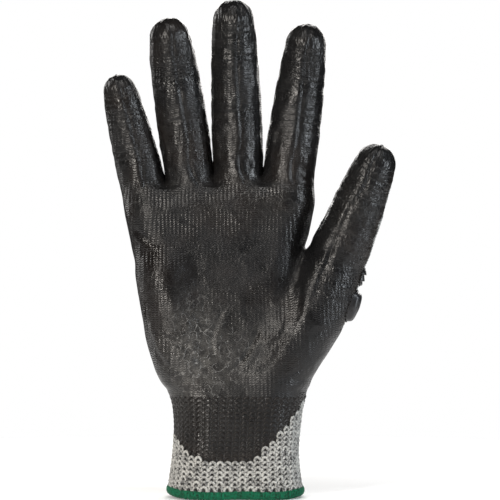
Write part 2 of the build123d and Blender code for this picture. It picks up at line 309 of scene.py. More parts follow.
def palm_field(points):
    x, y, z = points[..., 0], points[..., 1], points[..., 2]
    centre, wide, deep, back = [ease(z, column) for column in (1, 2, 3, 4)]
    corner = deep * 0.96
    dx = np.abs(x - centre) - (wide - corner)
    dy = np.abs(y - back) - (deep - corner)
    outside = np.sqrt(np.maximum(dx, 0) ** 2 + np.maximum(dy, 0) ** 2)
    flat = outside + np.minimum(np.maximum(dx, dy), 0) - corner
    return np.maximum(flat, z - PALM_TOP)


def melt(a, b, size):
    t = np.clip(0.5 + 0.5 * (b - a) / size, 0, 1)
    return b * (1 - t) + a * t - size * t * (1 - t)


ticks = [GRID_LOW[a] + STEP * np.arange(GRID_SIZE[a]) for a in range(3)]
MOUND_MELT, THUMB_MELT, FINGER_MELT = 7, 9, 5
LIMB_ROOM = 22
grid = np.stack(np.meshgrid(*ticks, indexing="ij"), -1)
palm = palm_field(grid)
# The heel, the ball of the palm under the fingers, and the knuckles, each with a radius at either end.
MOUNDS = (
    ((-26.5, -5.5, 68), (-36, -5.5, 112), 12.8, 12.5),
    ((-41.5, -2.5, 143), (25.5, -2.5, 148), 11.2, 11.9),
    ((-38, 3.0, 130), (22, 4.2, 138), 11.2, 11.6),
)
for start, end, first, last in MOUNDS:
    start, end = np.array(start, float), np.array(end, float)
    run = end - start
    t = np.clip((grid - start) @ run / (run @ run), 0, 1)
    gap = np.linalg.norm(grid - start - t[..., None] * run, axis=-1)
    palm = melt(palm, gap - first - (last - first) * t, MOUND_MELT)


def limb_field(name):
    """The limb's distance field, worked out only near the limb."""
    path, sizes = paths[name]
    low = np.maximum(((path.min(0) - LIMB_ROOM - GRID_LOW) / STEP).astype(int), 0)
    high = ((path.max(0) + LIMB_ROOM - GRID_LOW) / STEP).astype(int)
    window = tuple(slice(a, b) for a, b in zip(low, high))
    gap, radius, _, _ = limb_place(grid[window], name)
    return window, gap - radius


field = palm.copy()
for name in ALL_LIMBS:
    window, distance = limb_field(name)
    merged = melt(palm[window], distance, THUMB_MELT if name == "thumb" else FINGER_MELT)
    field[window] = np.minimum(field[window], merged)
print("field:", field.shape, "filled share %.3f" % (field < 0).mean())


# %% The surface net
def surface_net(values):
    """One vertex per crossed cell and one face per crossed grid edge, facing outwards."""
    inside = values < 0
    shape = np.array(values.shape) - 1
    corners = list(np.ndindex(2, 2, 2))
    part = lambda array, c: array[c[0] : c[0] + shape[0], c[1] : c[1] + shape[1], c[2] : c[2] + shape[2]]
    count = sum(part(inside, c).astype(int) for c in corners)
    cells = np.argwhere((count > 0) & (count < 8))
    corner_values = {c: values[tuple((cells + c).T)] for c in corners}
    total = np.zeros((len(cells), 3))
    hits = np.zeros(len(cells))
    for a in corners:
        for axis in range(3):
            if a[axis]:
                continue
            b = tuple(1 if i == axis else a[i] for i in range(3))
            va, vb = corner_values[a], corner_values[b]
            crossed = (va < 0) != (vb < 0)
            t = np.where(crossed, va / np.where(crossed, va - vb, 1), 0)
            point = np.array(a) + t[:, None] * (np.array(b) - np.array(a))
            total += point * crossed[:, None]
            hits += crossed
    vertices = GRID_LOW + STEP * (cells + total / hits[:, None])
    index = np.full(shape, -1)
    index[tuple(cells.T)] = np.arange(len(cells))
    faces = []
    for axis in range(3):
        u, v = [(1, 2), (2, 0), (0, 1)][axis]
        along = [slice(1, -1)] * 3
        along[axis] = slice(0, -1)
        ahead = list(along)
        ahead[axis] = slice(1, None)
        start, end = inside[tuple(along)], inside[tuple(ahead)]
        edges = np.argwhere(start != end) + [0 if a == axis else 1 for a in range(3)]
        step_u, step_v = np.eye(3, dtype=int)[u], np.eye(3, dtype=int)[v]
        ring = [edges - step_u - step_v, edges - step_v, edges, edges - step_u]
        ids = np.stack([index[tuple(np.clip(cell, 0, shape - 1).T)] for cell in ring], 1)
        turned = ~inside[tuple(edges.T)]
        ids[turned] = ids[turned][:, ::-1]
        faces.append(ids[(ids >= 0).all(1)])
    return vertices, np.vstack(faces)


vertices, faces = surface_net(field)
slopes = np.gradient(field, STEP)


def sample(array, points):
    """The value of a grid array at any points, from the eight grid values round each."""
    q = np.clip((points - GRID_LOW) / STEP, 0, np.array(array.shape) - 1.001)
    cell = q.astype(int)
    t = q - cell
    total = 0
    for c in np.ndindex(2, 2, 2):
        weight = np.prod([t[:, a] if c[a] else 1 - t[:, a] for a in range(3)], axis=0)
        total = total + weight * array[tuple((cell + c).T)]
    return total


for _ in range(2):
    slope = np.stack([sample(s, vertices) for s in slopes], 1)
    vertices -= (sample(field, vertices) / np.maximum((slope**2).sum(1), 0.2))[:, None] * slope * 0.8


def vertex_normals(points, quads):
    cross = np.cross(points[quads[:, 2]] - points[quads[:, 0]], points[quads[:, 3]] - points[quads[:, 1]])
    normals = np.zeros_like(points)
    for corner in range(4):
        np.add.at(normals, quads[:, corner], cross)
    return normals / np.maximum(np.linalg.norm(normals, axis=1, keepdims=True), 1e-9)


# The cuff is open: everything below the hem's plane goes.
middle = vertices[faces].mean(1)
faces = faces[middle[:, 2] > HEM_PLANE]
used = np.unique(faces)
renumber = np.full(len(vertices), -1)
renumber[used] = np.arange(len(used))
vertices, faces = vertices[used], renumber[faces]
base_normals = vertex_normals(vertices, faces)
print("skin:", len(vertices), "vertices,", len(faces), "faces")
print("skin box:", vertices.min(0).round(1), vertices.max(0).round(1))

# %% [markdown]
# ## Where on the glove a point is
#
# Every later step asks the same questions of a vertex: which limb is it on, how far along, and how far round?
# The answers also give the knit its own coordinates, with the wales running up every limb, so that the
# texture bends with the fabric.

# %% Limb coordinates of the skin
def zone_plane(joint_name, reach_below, reach_above):
    """Two points on the line that crosses a bend: the fabric bends between them."""
    joint = joints[joint_name]
    across = unit(joint["axis"])
    if joint_name.startswith("thumb_end") or joint_name.startswith("thumb_base"):
        points = np.array(THUMB_POINTS, float)
        which = 3 if "base" in joint_name else 4
        run = points[which + 1] - points[which - 1]
    elif joint_name == "thumb_swing":
        run = np.array([0.6, 0, 0.8])
    elif joint_name == "wrist_bend":
        run = np.array([0.0, 0, 1])
    else:
        name, which = joint_name.split("_")[:2]
        number = ("base", "middle", "end").index(which) + 1
        stations = lines[name][0]
        run = unit(stations[number + 1] - stations[number]) + unit(stations[number] - stations[number - 1])
    along = unit(run - across * (run @ across))
    origin = np.array(joint["pos_m"]) / MM
    return origin + along * reach_below, origin + along * reach_above


# Each bend's reach below and above its axis.
ZONES = {"wrist_bend": (-11, 10), "thumb_swing": (-6, 6)}
ZONES.update(thumb_base_bend=(-6, 7), thumb_end_bend=(-6, 7))
for name in FINGERS:
    ZONES[f"{name}_base_bend"] = (-4, 9)
    ZONES[f"{name}_middle_bend"] = (-7.5, 7.5)
    ZONES[f"{name}_end_bend"] = (-5.5, 6)
zones = {name: zone_plane(name, *reach) for name, reach in ZONES.items()}


def beyond(points, joint_name, margin=0.0):
    """How far points lie past the start of a bend's zone, in millimetres."""
    start, end = zones[joint_name]
    return (points - start) @ unit(end - start) - margin


THUMB_CROTCH, PALM_EDGE = 121.5, 36.2


def region_of(points):
    """The stretch of fabric each point belongs to. No stretch crosses more than one bend."""
    nearest_limb = limb_gaps(points).argmin(1)
    regions = np.full(len(points), "palm", dtype=object)
    regions[points[:, 2] < CUFF_TOP] = "cuff"
    for number, name in enumerate(FINGERS):
        on = (nearest_limb == number) & (points[:, 2] > 140)
        for part in ("base", "middle", "end"):
            past = beyond(points, f"{name}_{part}_bend", -1.3)
            on = on & (past > 0)
            regions[on] = f"{name}_{part}"
    on = (nearest_limb == 4) & (points[:, 2] > 80)
    over, under = np.maximum(points[:, 2] - THUMB_CROTCH, 0), np.maximum(THUMB_CROTCH - points[:, 2], 0)
    on &= points[:, 0] > PALM_EDGE + over * 0.25 - under
    for part in ("swing", "base_bend", "end_bend"):
        on = on & (beyond(points, f"thumb_{part}", -0.6) > 0)
        regions[on] = f"thumb_{part.split('_')[0]}"
    return regions


region_nodes = {"cuff": "cuff", "palm": "palm"}
region_nodes.update(thumb_swing="thumb_base", thumb_base="thumb_middle", thumb_end="thumb_tip")
for name in FINGERS:
    for part, node_part in (("base", "base"), ("middle", "middle"), ("end", "tip")):
        region_nodes[f"{name}_{part}"] = f"{name}_{node_part}"


def attach(obj, region):
    """A palm piece is parented to the palm's body; any other piece only has its transform baked into its mesh."""
    if region == "palm":
        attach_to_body(obj, "palm")
        return
    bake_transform(obj)


def belong(obj, region, node=None):
    """Hides the CAD node that the piece stands for, and attaches the piece by its region."""
    if node:
        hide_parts(node)
    attach(obj, region)


def knit_coordinates(points):
    """Across and along the knit, in millimetres: up the palm, then along each finger's own line."""
    u, v = points[:, 0].copy(), points[:, 2].copy()
    for name in ALL_LIMBS:
        gap, radius, along, centre = limb_place(points, name)
        stations = lines[name][0]
        run = unit(stations[2] - stations[1]) if name != "thumb" else unit(stations[3] - stations[1])
        across = unit(np.cross((0, 1, 0), run))
        side = (points - centre) @ across
        depth = (points - centre) @ np.cross(run, across)
        angle = np.arctan2(side, np.abs(depth) + 1e-6)
        limb_u = centre[:, 0] + angle * radius
        path = paths[name][0]
        limb_v = stations[1][2] + along - np.interp(stations[1][2], path[:, 2], lengths_along(path))
        weight = smoothstep(3, -1, gap - radius)
        if name == "thumb":
            weight = weight * smoothstep(86, 112, 0.6 * points[:, 0] + 0.8 * points[:, 2])
        else:
            weight = weight * smoothstep(144, 160, points[:, 2])
        u = u * (1 - weight) + limb_u * weight
        v = v * (1 - weight) + limb_v * weight
    return np.stack([u, v], 1)


def round_the_limb(points, name):
    """Along the limb, and the angle round it: 0 at the palm side, pi at the back."""
    gap, radius, along, centre = limb_place(points, name)
    stations = lines[name][0]
    run = unit(stations[2] - stations[1]) if name != "thumb" else unit(stations[4] - stations[2])
    back = unit(np.array([0, 1, 0]) - run * run[1]) if name != "thumb" else -THUMB_PAD
    across = np.cross(back, run)
    offset = points - centre
    return along, np.arctan2(offset @ across, -(offset @ back)), gap - radius


# %% [markdown]
# ## Creases
#
# A stiff rubber film over a soft knit doesn't lie flat. It folds across each knuckle, puckers in long ridges
# down the fingers and wrinkles where the palm closes.
# The large folds are real relief in the skin. The fine ribs and pores come later, as bump in the materials.

# %% Relief of the skin
KNUCKLE_FOLDS = ((-1.6, 0.55), (1.7, 0.4), (5.2, 0.18), (-5.6, 0.15))  # how far past the bend, depth
LIMB_RIDGES = ((-0.95, 0.5), (0.85, 0.42), (0.1, 0.28), (-1.9, 0.3), (1.8, 0.3))  # angle, height
PALM_CREASES = (  # start and end as (x, z), bow, depth, width
    ((33, 113), (10, 68), 8, 0.45, 2.2), ((26, 92), (12, 74), 4, 0.35, 1.5), ((12, 86), (-8, 60), 3, 0.7, 1.3),
    ((24, 78), (2, 56), 2, 0.5, 1.2), ((-35, 126), (-52, 136), 2, 0.5, 1.6),
    ((-5, 96), (-12, 70), -3, 0.5, 1.4), ((-47, 96), (-30, 60), -3, 0.6, 1.4),
    ((-40, 84), (-14, 62), 3, 0.5, 1.1), ((32, 66), (14, 54), 1, 0.5, 1.1),
)


def noise_along(along, size, offset, shift=0.0):
    """Random values that change only along a limb."""
    still = along * 0
    return noise(np.stack([along, still + offset, still], 1), size, shift)


relief = np.zeros(len(vertices))
out = base_normals
for name in ALL_LIMBS:
    along, angle, gap = round_the_limb(vertices, name)
    stations = lines[name][0]
    marks = lengths_along(stations)
    weight = smoothstep(1.5, 0.2, gap)
    first = 2 if name != "thumb" else 3
    if name != "thumb":
        weight = weight * smoothstep(150, 158, vertices[:, 2])
    else:
        weight = weight * smoothstep(96, 112, 0.6 * vertices[:, 0] + 0.8 * vertices[:, 2])
    front_side = smoothstep(2.2, 1.2, np.abs(angle))
    middle_side = smoothstep(1.35, 0.7, np.abs(angle))
    wobble = noise(vertices, 9, 3.1)
    for number, mark in enumerate(marks[first:-1]):
        for shift, depth in KNUCKLE_FOLDS:
            line = along - mark - shift - 1.1 * wobble - 0.5 * np.cos(angle * 2 + number)
            relief -= weight * middle_side * depth * bump_at(line, 0, 0.85)
        relief += weight * front_side * 0.35 * bump_at(along - mark, 0, 6.0)
    for ridge_angle, height in LIMB_RIDGES:
        path_angle = ridge_angle + 0.22 * noise_along(along, 13, ridge_angle * 9)
        strength = 0.55 + 0.45 * noise_along(along, 10, ridge_angle * 31, 5)
        relief += weight * height * strength * bump_at(angle, path_angle, 0.11)
    crease = angle - 0.08 - 0.2 * noise_along(along, 15, 5.0)
    if name == "thumb":
        crease = crease - 0.1
    strength = 0.75 + 0.35 * noise_along(along, 11, 17.0, 2)
    swell = smoothstep(-0.75, -0.12, crease) * smoothstep(0.08, 0.0, crease)
    relief += weight * strength * (0.62 * swell - 0.5 * bump_at(crease, 0.13, 0.07))
    relief += weight * 0.3 * noise(vertices, 3.1, 12.2) * front_side

x, y, z = vertices.T
front_side = smoothstep(0.2, -0.5, out[:, 1])
palm_weight = smoothstep(60, 68, z) * smoothstep(164, 150, z)
heel = bump_at(x, -30, 22) * bump_at(z, 78, 26)
relief += palm_weight * front_side * heel * 0.75 * (ridges(vertices * (1, 1, 0.8), 11, 1.7) - 0.25)
relief += palm_weight * front_side * 0.28 * (ridges(vertices, 17, 4.4) - 0.2)
for (ax, az), (bx, bz), bow, depth, width in PALM_CREASES:
    run = np.array([bx - ax, bz - az], float)
    length = np.linalg.norm(run)
    t = ((x - ax) * run[0] + (z - az) * run[1]) / length**2
    side = ((x - ax) * -run[1] + (z - az) * run[0]) / length
    off = side - bow * np.sin(np.pi * np.clip(t, 0, 1)) - 1.2 * noise(vertices, 10, 6.2)
    ends = smoothstep(-0.02, 0.14, t) * smoothstep(1.02, 0.8, t)
    relief += palm_weight * front_side * ends * depth * (0.55 * bump_at(off, 2.6, 1.9) - bump_at(off, 0, width))
back_side = smoothstep(-0.1, 0.5, out[:, 1])
relief += smoothstep(56, 64, z) * 0.25 * back_side * noise(vertices, 24, 8.8)
relief += smoothstep(58, 66, z) * 0.12 * noise(vertices, 5.5, 2.2) * (1 - back_side)
wrist_folds = bump_at(z, 55, 5) * np.sin(z * 0.9 + 1.5 * noise(vertices, 20, 9)) * 0.35
relief += wrist_folds * (0.4 + 0.6 * ridges(vertices, 20, 3.9))
vertices = vertices + base_normals * relief[:, None]
normals = vertex_normals(vertices, faces)
print("relief from %.2f to %.2f mm" % (relief.min(), relief.max()))

# %% [markdown]
# ## Where the rubber ends
#
# The glove is dipped palm down. The film covers the palm side, runs past the middle of every finger's depth,
# wraps the fingertips and ends on the cuff in a round scoop.


# %% The edge of the coat
SCOOP_BOTTOM = 19.5
RELIEF_TOP = 49.0


def scoop_height(x):
    """The height of the coat's lower edge on the cuff: flat in the middle, shallow left, steep right."""
    left = 13 * np.clip((-9 - x) / 23, 0, 1.3) ** 2.2
    right = 30.5 * np.clip((x - 5) / 29, 0, 1.3) ** 1.45
    return SCOOP_BOTTOM + left + right


def coat_depth(points):
    """Millimetres inside the edge of the coat, measured along the fabric. Negative where the knit shows."""
    x, y, z = points.T
    wave = 0.9 * noise(points, 7, 1.3) + 0.5 * noise(points, 3.2, 7.7)
    edge = 3.0 - y + wave
    for name in ALL_LIMBS:
        along, angle, gap = round_the_limb(points, name)
        _, radius, _, centre = limb_place(points, name)
        weight = smoothstep(2.5, 0.5, gap)
        if name == "thumb":
            weight = weight * smoothstep(80, 104, 0.6 * x + 0.8 * z)
        else:
            weight = weight * smoothstep(146, 160, z)
        total = lengths_along(paths[name][0])[-1]
        round_edge = (1.83 - np.abs(angle)) * 11 + wave
        tip_edge = along - (total - 6.5) + wave * 0.8 + 1.5 * np.cos(angle)
        limb_edge = np.maximum(round_edge, tip_edge)
        edge = edge * (1 - weight) + limb_edge * weight
    return np.minimum(edge, (z - scoop_height(x)) * 0.8)


depth = coat_depth(vertices)
print("coated share of the skin: %.2f" % (depth > 0).mean())

# %% [markdown]
# ## Materials
#
# Colour, roughness and fine relief are all procedural. Shared effects are node groups: each takes named inputs
# and gives back only a mask, a colour or a height. The textures read attributes stored on the meshes, so they
# ride with the fabric when it bends: "rest" is the resting position, and "knit" counts millimetres along the knit.


# %% Node helpers
def socket(node, name):
    return next(s for s in node.inputs if s.name == name and s.enabled)


def out_of(node, name=None):
    if name is None:
        return next(s for s in node.outputs if s.enabled)
    return next(s for s in node.outputs if s.name == name and s.enabled)


class Tree:
    """A short way to write a shader tree: every method adds one node and gives back its output."""

    def __init__(self, tree):
        self.tree = tree
        self.row = 0

    def node(self, kind, **settings):
        item = self.tree.nodes.new(kind)
        item.location = (self.row * 180, -(self.row % 4) * 190)
        self.row += 1
        for key, value in settings.items():
            setattr(item, key, value)
        return item

    def feed(self, target, value):
        if isinstance(value, bpy.types.NodeSocket):
            self.tree.links.new(value, target)
        elif target.type == "RGBA" and len(value) == 3:
            target.default_value = (*value, 1)
        else:
            target.default_value = value

    def math(self, operation, *values, clamp=False):
        item = self.node("ShaderNodeMath", operation=operation, use_clamp=clamp)
        for target, value in zip(item.inputs, values):
            self.feed(target, value)
        return item.outputs[0]

    def times(self, *values, **settings):
        return self.math("MULTIPLY", *values, **settings)

    def plus(self, *values, **settings):
        return self.math("ADD", *values, **settings)

    def minus(self, *values, **settings):
        return self.math("SUBTRACT", *values, **settings)

    def ramp(self, value, low, high, to_low=0.0, to_high=1.0):
        item = self.node("ShaderNodeMapRange", interpolation_type="SMOOTHSTEP")
        names = ("Value", "From Min", "From Max", "To Min", "To Max")
        for name, given in zip(names, (value, low, high, to_low, to_high)):
            self.feed(item.inputs[name], given)
        return item.outputs[0]

    def mix(self, share, first, second):
        item = self.node("ShaderNodeMix", data_type="RGBA")
        self.feed(socket(item, "Factor"), share)
        self.feed(socket(item, "A"), first)
        self.feed(socket(item, "B"), second)
        return out_of(item, "Result")

    def noise(self, where, scale, detail=3.0, roughness=0.55, **settings):
        item = self.node("ShaderNodeTexNoise", **settings)
        for name, given in (("Vector", where), ("Scale", scale), ("Detail", detail), ("Roughness", roughness)):
            self.feed(item.inputs[name], given)
        return out_of(item, "Fac")

    def attribute(self, name, output="Vector"):
        item = self.node("ShaderNodeAttribute", attribute_name=name)
        return item.outputs[output]

    def group(self, group, **inputs):
        item = self.node("ShaderNodeGroup", node_tree=group)
        for name, value in inputs.items():
            self.feed(item.inputs[name.replace("_", " ")], value)
        return item


def new_group(name, inputs, outputs):
    """An empty shader group with named inputs and outputs, and its Tree."""
    group = bpy.data.node_groups.new(name, "ShaderNodeTree")
    for label, kind, default in inputs:
        item = group.interface.new_socket(name=label, in_out="INPUT", socket_type=kind)
        if default is not None:
            item.default_value = default
    for label, kind in outputs:
        group.interface.new_socket(name=label, in_out="OUTPUT", socket_type=kind)
    tree = Tree(group)
    return group, tree, tree.node("NodeGroupInput"), tree.node("NodeGroupOutput")


VALUE, COLOUR, VECTOR = "NodeSocketFloat", "NodeSocketColor", "NodeSocketVector"

# %% Shared effects
ribs_group, tree, given, result = new_group(
    "Knit seen through rubber",
    [("Knit", VECTOR, None), ("Rest", VECTOR, None), ("Course", VALUE, 1.15), ("Wale", VALUE, 1.9)],
    [("Height", VALUE)],
)
split = tree.node("ShaderNodeSeparateXYZ")
tree.feed(split.inputs[0], given.outputs["Knit"])
drift = tree.times(tree.noise(given.outputs["Rest"], 90.0, 2.0), 0.9)
across = tree.math("DIVIDE", tree.plus(split.outputs[0], drift), given.outputs["Wale"])
upward = tree.math("DIVIDE", tree.plus(split.outputs[1], drift), given.outputs["Course"])
wale = tree.math("ABSOLUTE", tree.math("SINE", tree.times(across, math.pi)))
slant = tree.plus(upward, tree.times(wale, 0.45))
course = tree.math("SINE", tree.times(slant, 2 * math.pi))
patch = tree.ramp(tree.noise(given.outputs["Rest"], 45.0, 3.0), 0.32, 0.66, 0.25, 1.0)
both = tree.plus(tree.times(course, 0.85), tree.times(wale, 0.12))
tree.feed(result.inputs["Height"], tree.times(both, patch))

foam_group, tree, given, result = new_group(
    "Foam rubber grain",
    [("Rest", VECTOR, None), ("Pore Scale", VALUE, 2600.0)],
    [("Height", VALUE), ("Pores", VALUE)],
)
fine = tree.noise(given.outputs["Rest"], given.outputs["Pore Scale"], 2.0)
cells = tree.node("ShaderNodeTexVoronoi", feature="F1")
tree.feed(cells.inputs["Vector"], given.outputs["Rest"])
tree.feed(cells.inputs["Scale"], tree.times(given.outputs["Pore Scale"], 0.62))
pores = tree.ramp(out_of(cells, "Distance"), 0.1, 0.38, 1.0, 0.0)
tree.feed(result.inputs["Height"], tree.minus(fine, tree.times(pores, 0.5)))
tree.feed(result.inputs["Pores"], pores)

crackle_group, tree, given, result = new_group(
    "Crackle",
    [("Rest", VECTOR, None), ("Scale", VALUE, 210.0), ("Width", VALUE, 0.05)],
    [("Lines", VALUE)],
)
warp = tree.node("ShaderNodeTexNoise")
tree.feed(warp.inputs["Vector"], given.outputs["Rest"])
tree.feed(warp.inputs["Scale"], 160.0)
moved = tree.node("ShaderNodeVectorMath", operation="MULTIPLY_ADD")
tree.feed(moved.inputs[0], out_of(warp, "Color"))
tree.feed(moved.inputs[1], (0.006, 0.006, 0.006))
tree.feed(moved.inputs[2], given.outputs["Rest"])
cells = tree.node("ShaderNodeTexVoronoi", feature="DISTANCE_TO_EDGE")
tree.feed(cells.inputs["Vector"], moved.outputs[0])
tree.feed(cells.inputs["Scale"], given.outputs["Scale"])
line = tree.ramp(out_of(cells, "Distance"), 0.0, given.outputs["Width"], 1.0, 0.0)
broken = tree.ramp(tree.noise(given.outputs["Rest"], 300.0, 2.0), 0.42, 0.6)
tree.feed(result.inputs["Lines"], tree.times(line, broken))

yarn_group, tree, given, result = new_group(
    "Melange yarn",
    [
        ("Rest", VECTOR, None), ("Shade", VALUE, 0.5),
        ("Light", COLOUR, (0.62, 0.62, 0.6, 1)), ("Dark", COLOUR, (0.2, 0.2, 0.21, 1)),
    ],
    [("Color", COLOUR), ("Height", VALUE)],
)
flecks = tree.ramp(tree.noise(given.outputs["Rest"], 1100.0, 3.0, 0.65), 0.47, 0.56)
spread = tree.ramp(tree.noise(given.outputs["Rest"], 420.0, 3.0), 0.35, 0.65)
dark_share = tree.times(tree.plus(tree.times(flecks, 0.7), tree.times(spread, 0.25)), 0.9)
shade = tree.times(tree.minus(given.outputs["Shade"], 0.5), 0.5)
share = tree.plus(dark_share, shade, clamp=True)
tree.feed(result.inputs["Color"], tree.mix(share, given.outputs["Light"], given.outputs["Dark"]))
tree.feed(result.inputs["Height"], tree.noise(given.outputs["Rest"], 3600.0, 2.0))
print("shared effects:", [group.name for group in bpy.data.node_groups])


# %% The materials themselves
def new_material(name):
    material = bpy.data.materials.new(name)
    material.use_nodes = True
    tree = Tree(material.node_tree)
    shader = material.node_tree.nodes["Principled BSDF"]
    return material, tree, shader


def bump(tree, shader, height, distance, strength=1.0):
    item = tree.node("ShaderNodeBump")
    tree.feed(item.inputs["Height"], height)
    item.inputs["Distance"].default_value = distance
    item.inputs["Strength"].default_value = strength
    tree.feed(shader.inputs["Normal"], item.outputs[0])


nitrile, tree, shader = new_material("nitrile_coat")
rest, knit = tree.attribute("rest"), tree.attribute("knit")
edge = tree.attribute("edge", "Fac")
ribs = tree.group(ribs_group, Knit=knit, Rest=rest, Course=1.15, Wale=1.9).outputs["Height"]
foam = tree.group(foam_group, Rest=rest)
cracks = tree.group(crackle_group, Rest=rest, Scale=230.0, Width=0.045).outputs["Lines"]
where = tree.attribute("crackle", "Fac")
veins = tree.times(cracks, where)
stain = tree.ramp(tree.noise(rest, 34.0, 3.0), 0.45, 0.7)
brown = tree.times(tree.plus(tree.ramp(edge, 0.0, 6.0, 0.75, 0.0), tree.times(stain, 0.4)), 0.8, clamp=True)
black = tree.mix(brown, (0.0055, 0.0055, 0.006), (0.016, 0.0105, 0.0075))
dust = tree.times(where, tree.ramp(tree.noise(rest, 260.0, 4.0, 0.7), 0.36, 0.7, 0.25, 1.0))
black = tree.mix(dust, black, (0.075, 0.072, 0.067))
dusty = tree.mix(tree.times(veins, 0.8), black, (0.26, 0.255, 0.245))
thin = tree.ramp(edge, 0.0, 0.9, 0.35, 0.0)
tree.feed(shader.inputs["Base Color"], tree.mix(thin, dusty, (0.05, 0.046, 0.042)))
matt = tree.ramp(tree.noise(rest, 60.0, 4.0), 0.35, 0.65, 0.24, 0.4)
tree.feed(shader.inputs["Roughness"], tree.plus(matt, tree.times(foam.outputs["Pores"], 0.1)))
height = tree.plus(tree.times(ribs, 0.38), tree.times(foam.outputs["Height"], 0.08))
height = tree.plus(height, tree.times(veins, 0.8))
height = tree.plus(height, tree.times(tree.noise(rest, 620.0, 1.0), 0.95))
height = tree.plus(height, tree.times(tree.noise(rest, 170.0, 1.0), 1.6))
bump(tree, shader, height, 0.00024)
shader.inputs["Specular IOR Level"].default_value = 0.37

coated_yarn, tree, shader = new_material("nitrile_over_cuff")
rest = tree.attribute("rest")
foam = tree.group(foam_group, Rest=rest)
worn = tree.mix(tree.noise(rest, 500.0), (0.0045, 0.0045, 0.0045), (0.015, 0.012, 0.0105))
tree.feed(shader.inputs["Base Color"], worn)
tree.feed(shader.inputs["Roughness"], tree.ramp(tree.noise(rest, 300.0), 0.3, 0.7, 0.28, 0.44))
bump(tree, shader, foam.outputs["Height"], 0.00003)
shader.inputs["Specular IOR Level"].default_value = 0.22


def yarn_material(name, light, dark, roughness):
    material, tree, shader = new_material(name)
    rest = tree.attribute("rest")
    shade = tree.attribute("shade", "Fac")
    coated = tree.attribute("coated", "Fac")
    yarn = tree.group(yarn_group, Rest=rest, Light=light, Dark=dark, Shade=shade)
    tree.feed(shader.inputs["Base Color"], tree.mix(coated, yarn.outputs["Color"], (0.01, 0.01, 0.011)))
    shader.inputs["Roughness"].default_value = roughness
    shader.inputs["Sheen Weight"].default_value = 0.08
    shader.inputs["Specular IOR Level"].default_value = 0.25
    bump(tree, shader, yarn.outputs["Height"], 0.00008)
    return material


yarn = yarn_material("melange_yarn", (0.5, 0.5, 0.475), (0.06, 0.06, 0.062), 0.85)
# Painted shade: the liner's ground is near black so the holes between the loops and the inside of the glove read
# as shadow.
liner_painted_shade = yarn_material("liner_ground_painted_shade", (0.06, 0.06, 0.06), (0.012, 0.012, 0.014), 0.95)
hem_thread = yarn_material("hem_thread", (0.0, 0.13, 0.06), (0.0, 0.03, 0.013), 0.75)
elastic = yarn_material("elastic_thread", (0.62, 0.61, 0.57), (0.4, 0.39, 0.36), 0.7)

guard_rubber, tree, shader = new_material("guard_rubber")
rest = tree.attribute("rest")
scuff = tree.ramp(tree.noise(rest, 240.0, 5.0, 0.65), 0.55, 0.72)
scuffed = tree.mix(tree.times(scuff, 0.5), (0.012, 0.012, 0.013), (0.05, 0.05, 0.052))
tree.feed(shader.inputs["Base Color"], scuffed)
tree.feed(shader.inputs["Roughness"], tree.ramp(scuff, 0.0, 1.0, 0.36, 0.55))
bump(tree, shader, tree.noise(rest, 1400.0, 3.0), 0.00004)
print("materials:", [material.name for material in bpy.data.materials])


# %% [markdown]
# ## From arrays to pieces
#
# A shell is a stretch of the skin with thickness: an outside, an inside and a rim that closes it.
# Each stretch belongs to one bend at most. The vertices on either side of a cut are in the same place
# and carry the normals of the uncut skin, so no seam shows.


# %% Making meshes
def finish_mesh(name, points_mm, polygons, material, corner_normals=None):
    mesh = bpy.data.meshes.new(name)
    mesh.from_pydata((np.asarray(points_mm) * MM).tolist(), [], [list(map(int, p)) for p in polygons])
    mesh.polygons.foreach_set("use_smooth", [True] * len(mesh.polygons))
    mesh.materials.append(material)
    rest_attribute = mesh.attributes.new("rest", "FLOAT_VECTOR", "POINT")
    rest_attribute.data.foreach_set("vector", (np.asarray(points_mm) * MM).astype(np.float32).ravel())
    if corner_normals is not None:
        mesh.normals_split_custom_set_from_vertices(corner_normals.tolist())
    obj = bpy.data.objects.new(name, mesh)
    bpy.context.scene.collection.objects.link(obj)
    return obj


def add_values(obj, name, values):
    values = np.asarray(values, np.float32)
    kind, key = ("FLOAT_VECTOR", "vector") if values.ndim == 2 else ("FLOAT", "value")
    attribute = obj.data.attributes.new(name, kind, "POINT")
    attribute.data.foreach_set(key, values.ravel())


def shell(name, quads, outer, inner, shading, material):
    """A closed piece of fabric from some of the skin's faces."""
    used = np.unique(quads)
    number = np.full(len(outer), -1)
    number[used] = np.arange(len(used))
    top = number[quads]
    bottom = top[:, ::-1] + len(used)
    edges = np.vstack([top[:, [i, (i + 1) % 4]] for i in range(4)])
    keys = edges[:, 0].astype(np.int64) * len(used) + edges[:, 1]
    opposite = edges[:, 1].astype(np.int64) * len(used) + edges[:, 0]
    rim = edges[~np.isin(keys, opposite)]
    sides = np.stack([rim[:, 1], rim[:, 0], rim[:, 0] + len(used), rim[:, 1] + len(used)], 1)
    points = np.vstack([outer[used], inner[used]])
    polygons = np.vstack([top, bottom, sides])
    directions = np.vstack([shading[used], -shading[used]])
    obj = finish_mesh(name, points, polygons, material, directions)
    return obj, used


face_middles = vertices[faces].mean(1)
face_regions = region_of(face_middles)
face_depth = depth[faces].mean(1)
knit_map = knit_coordinates(vertices)
coated_quads = face_depth > 0

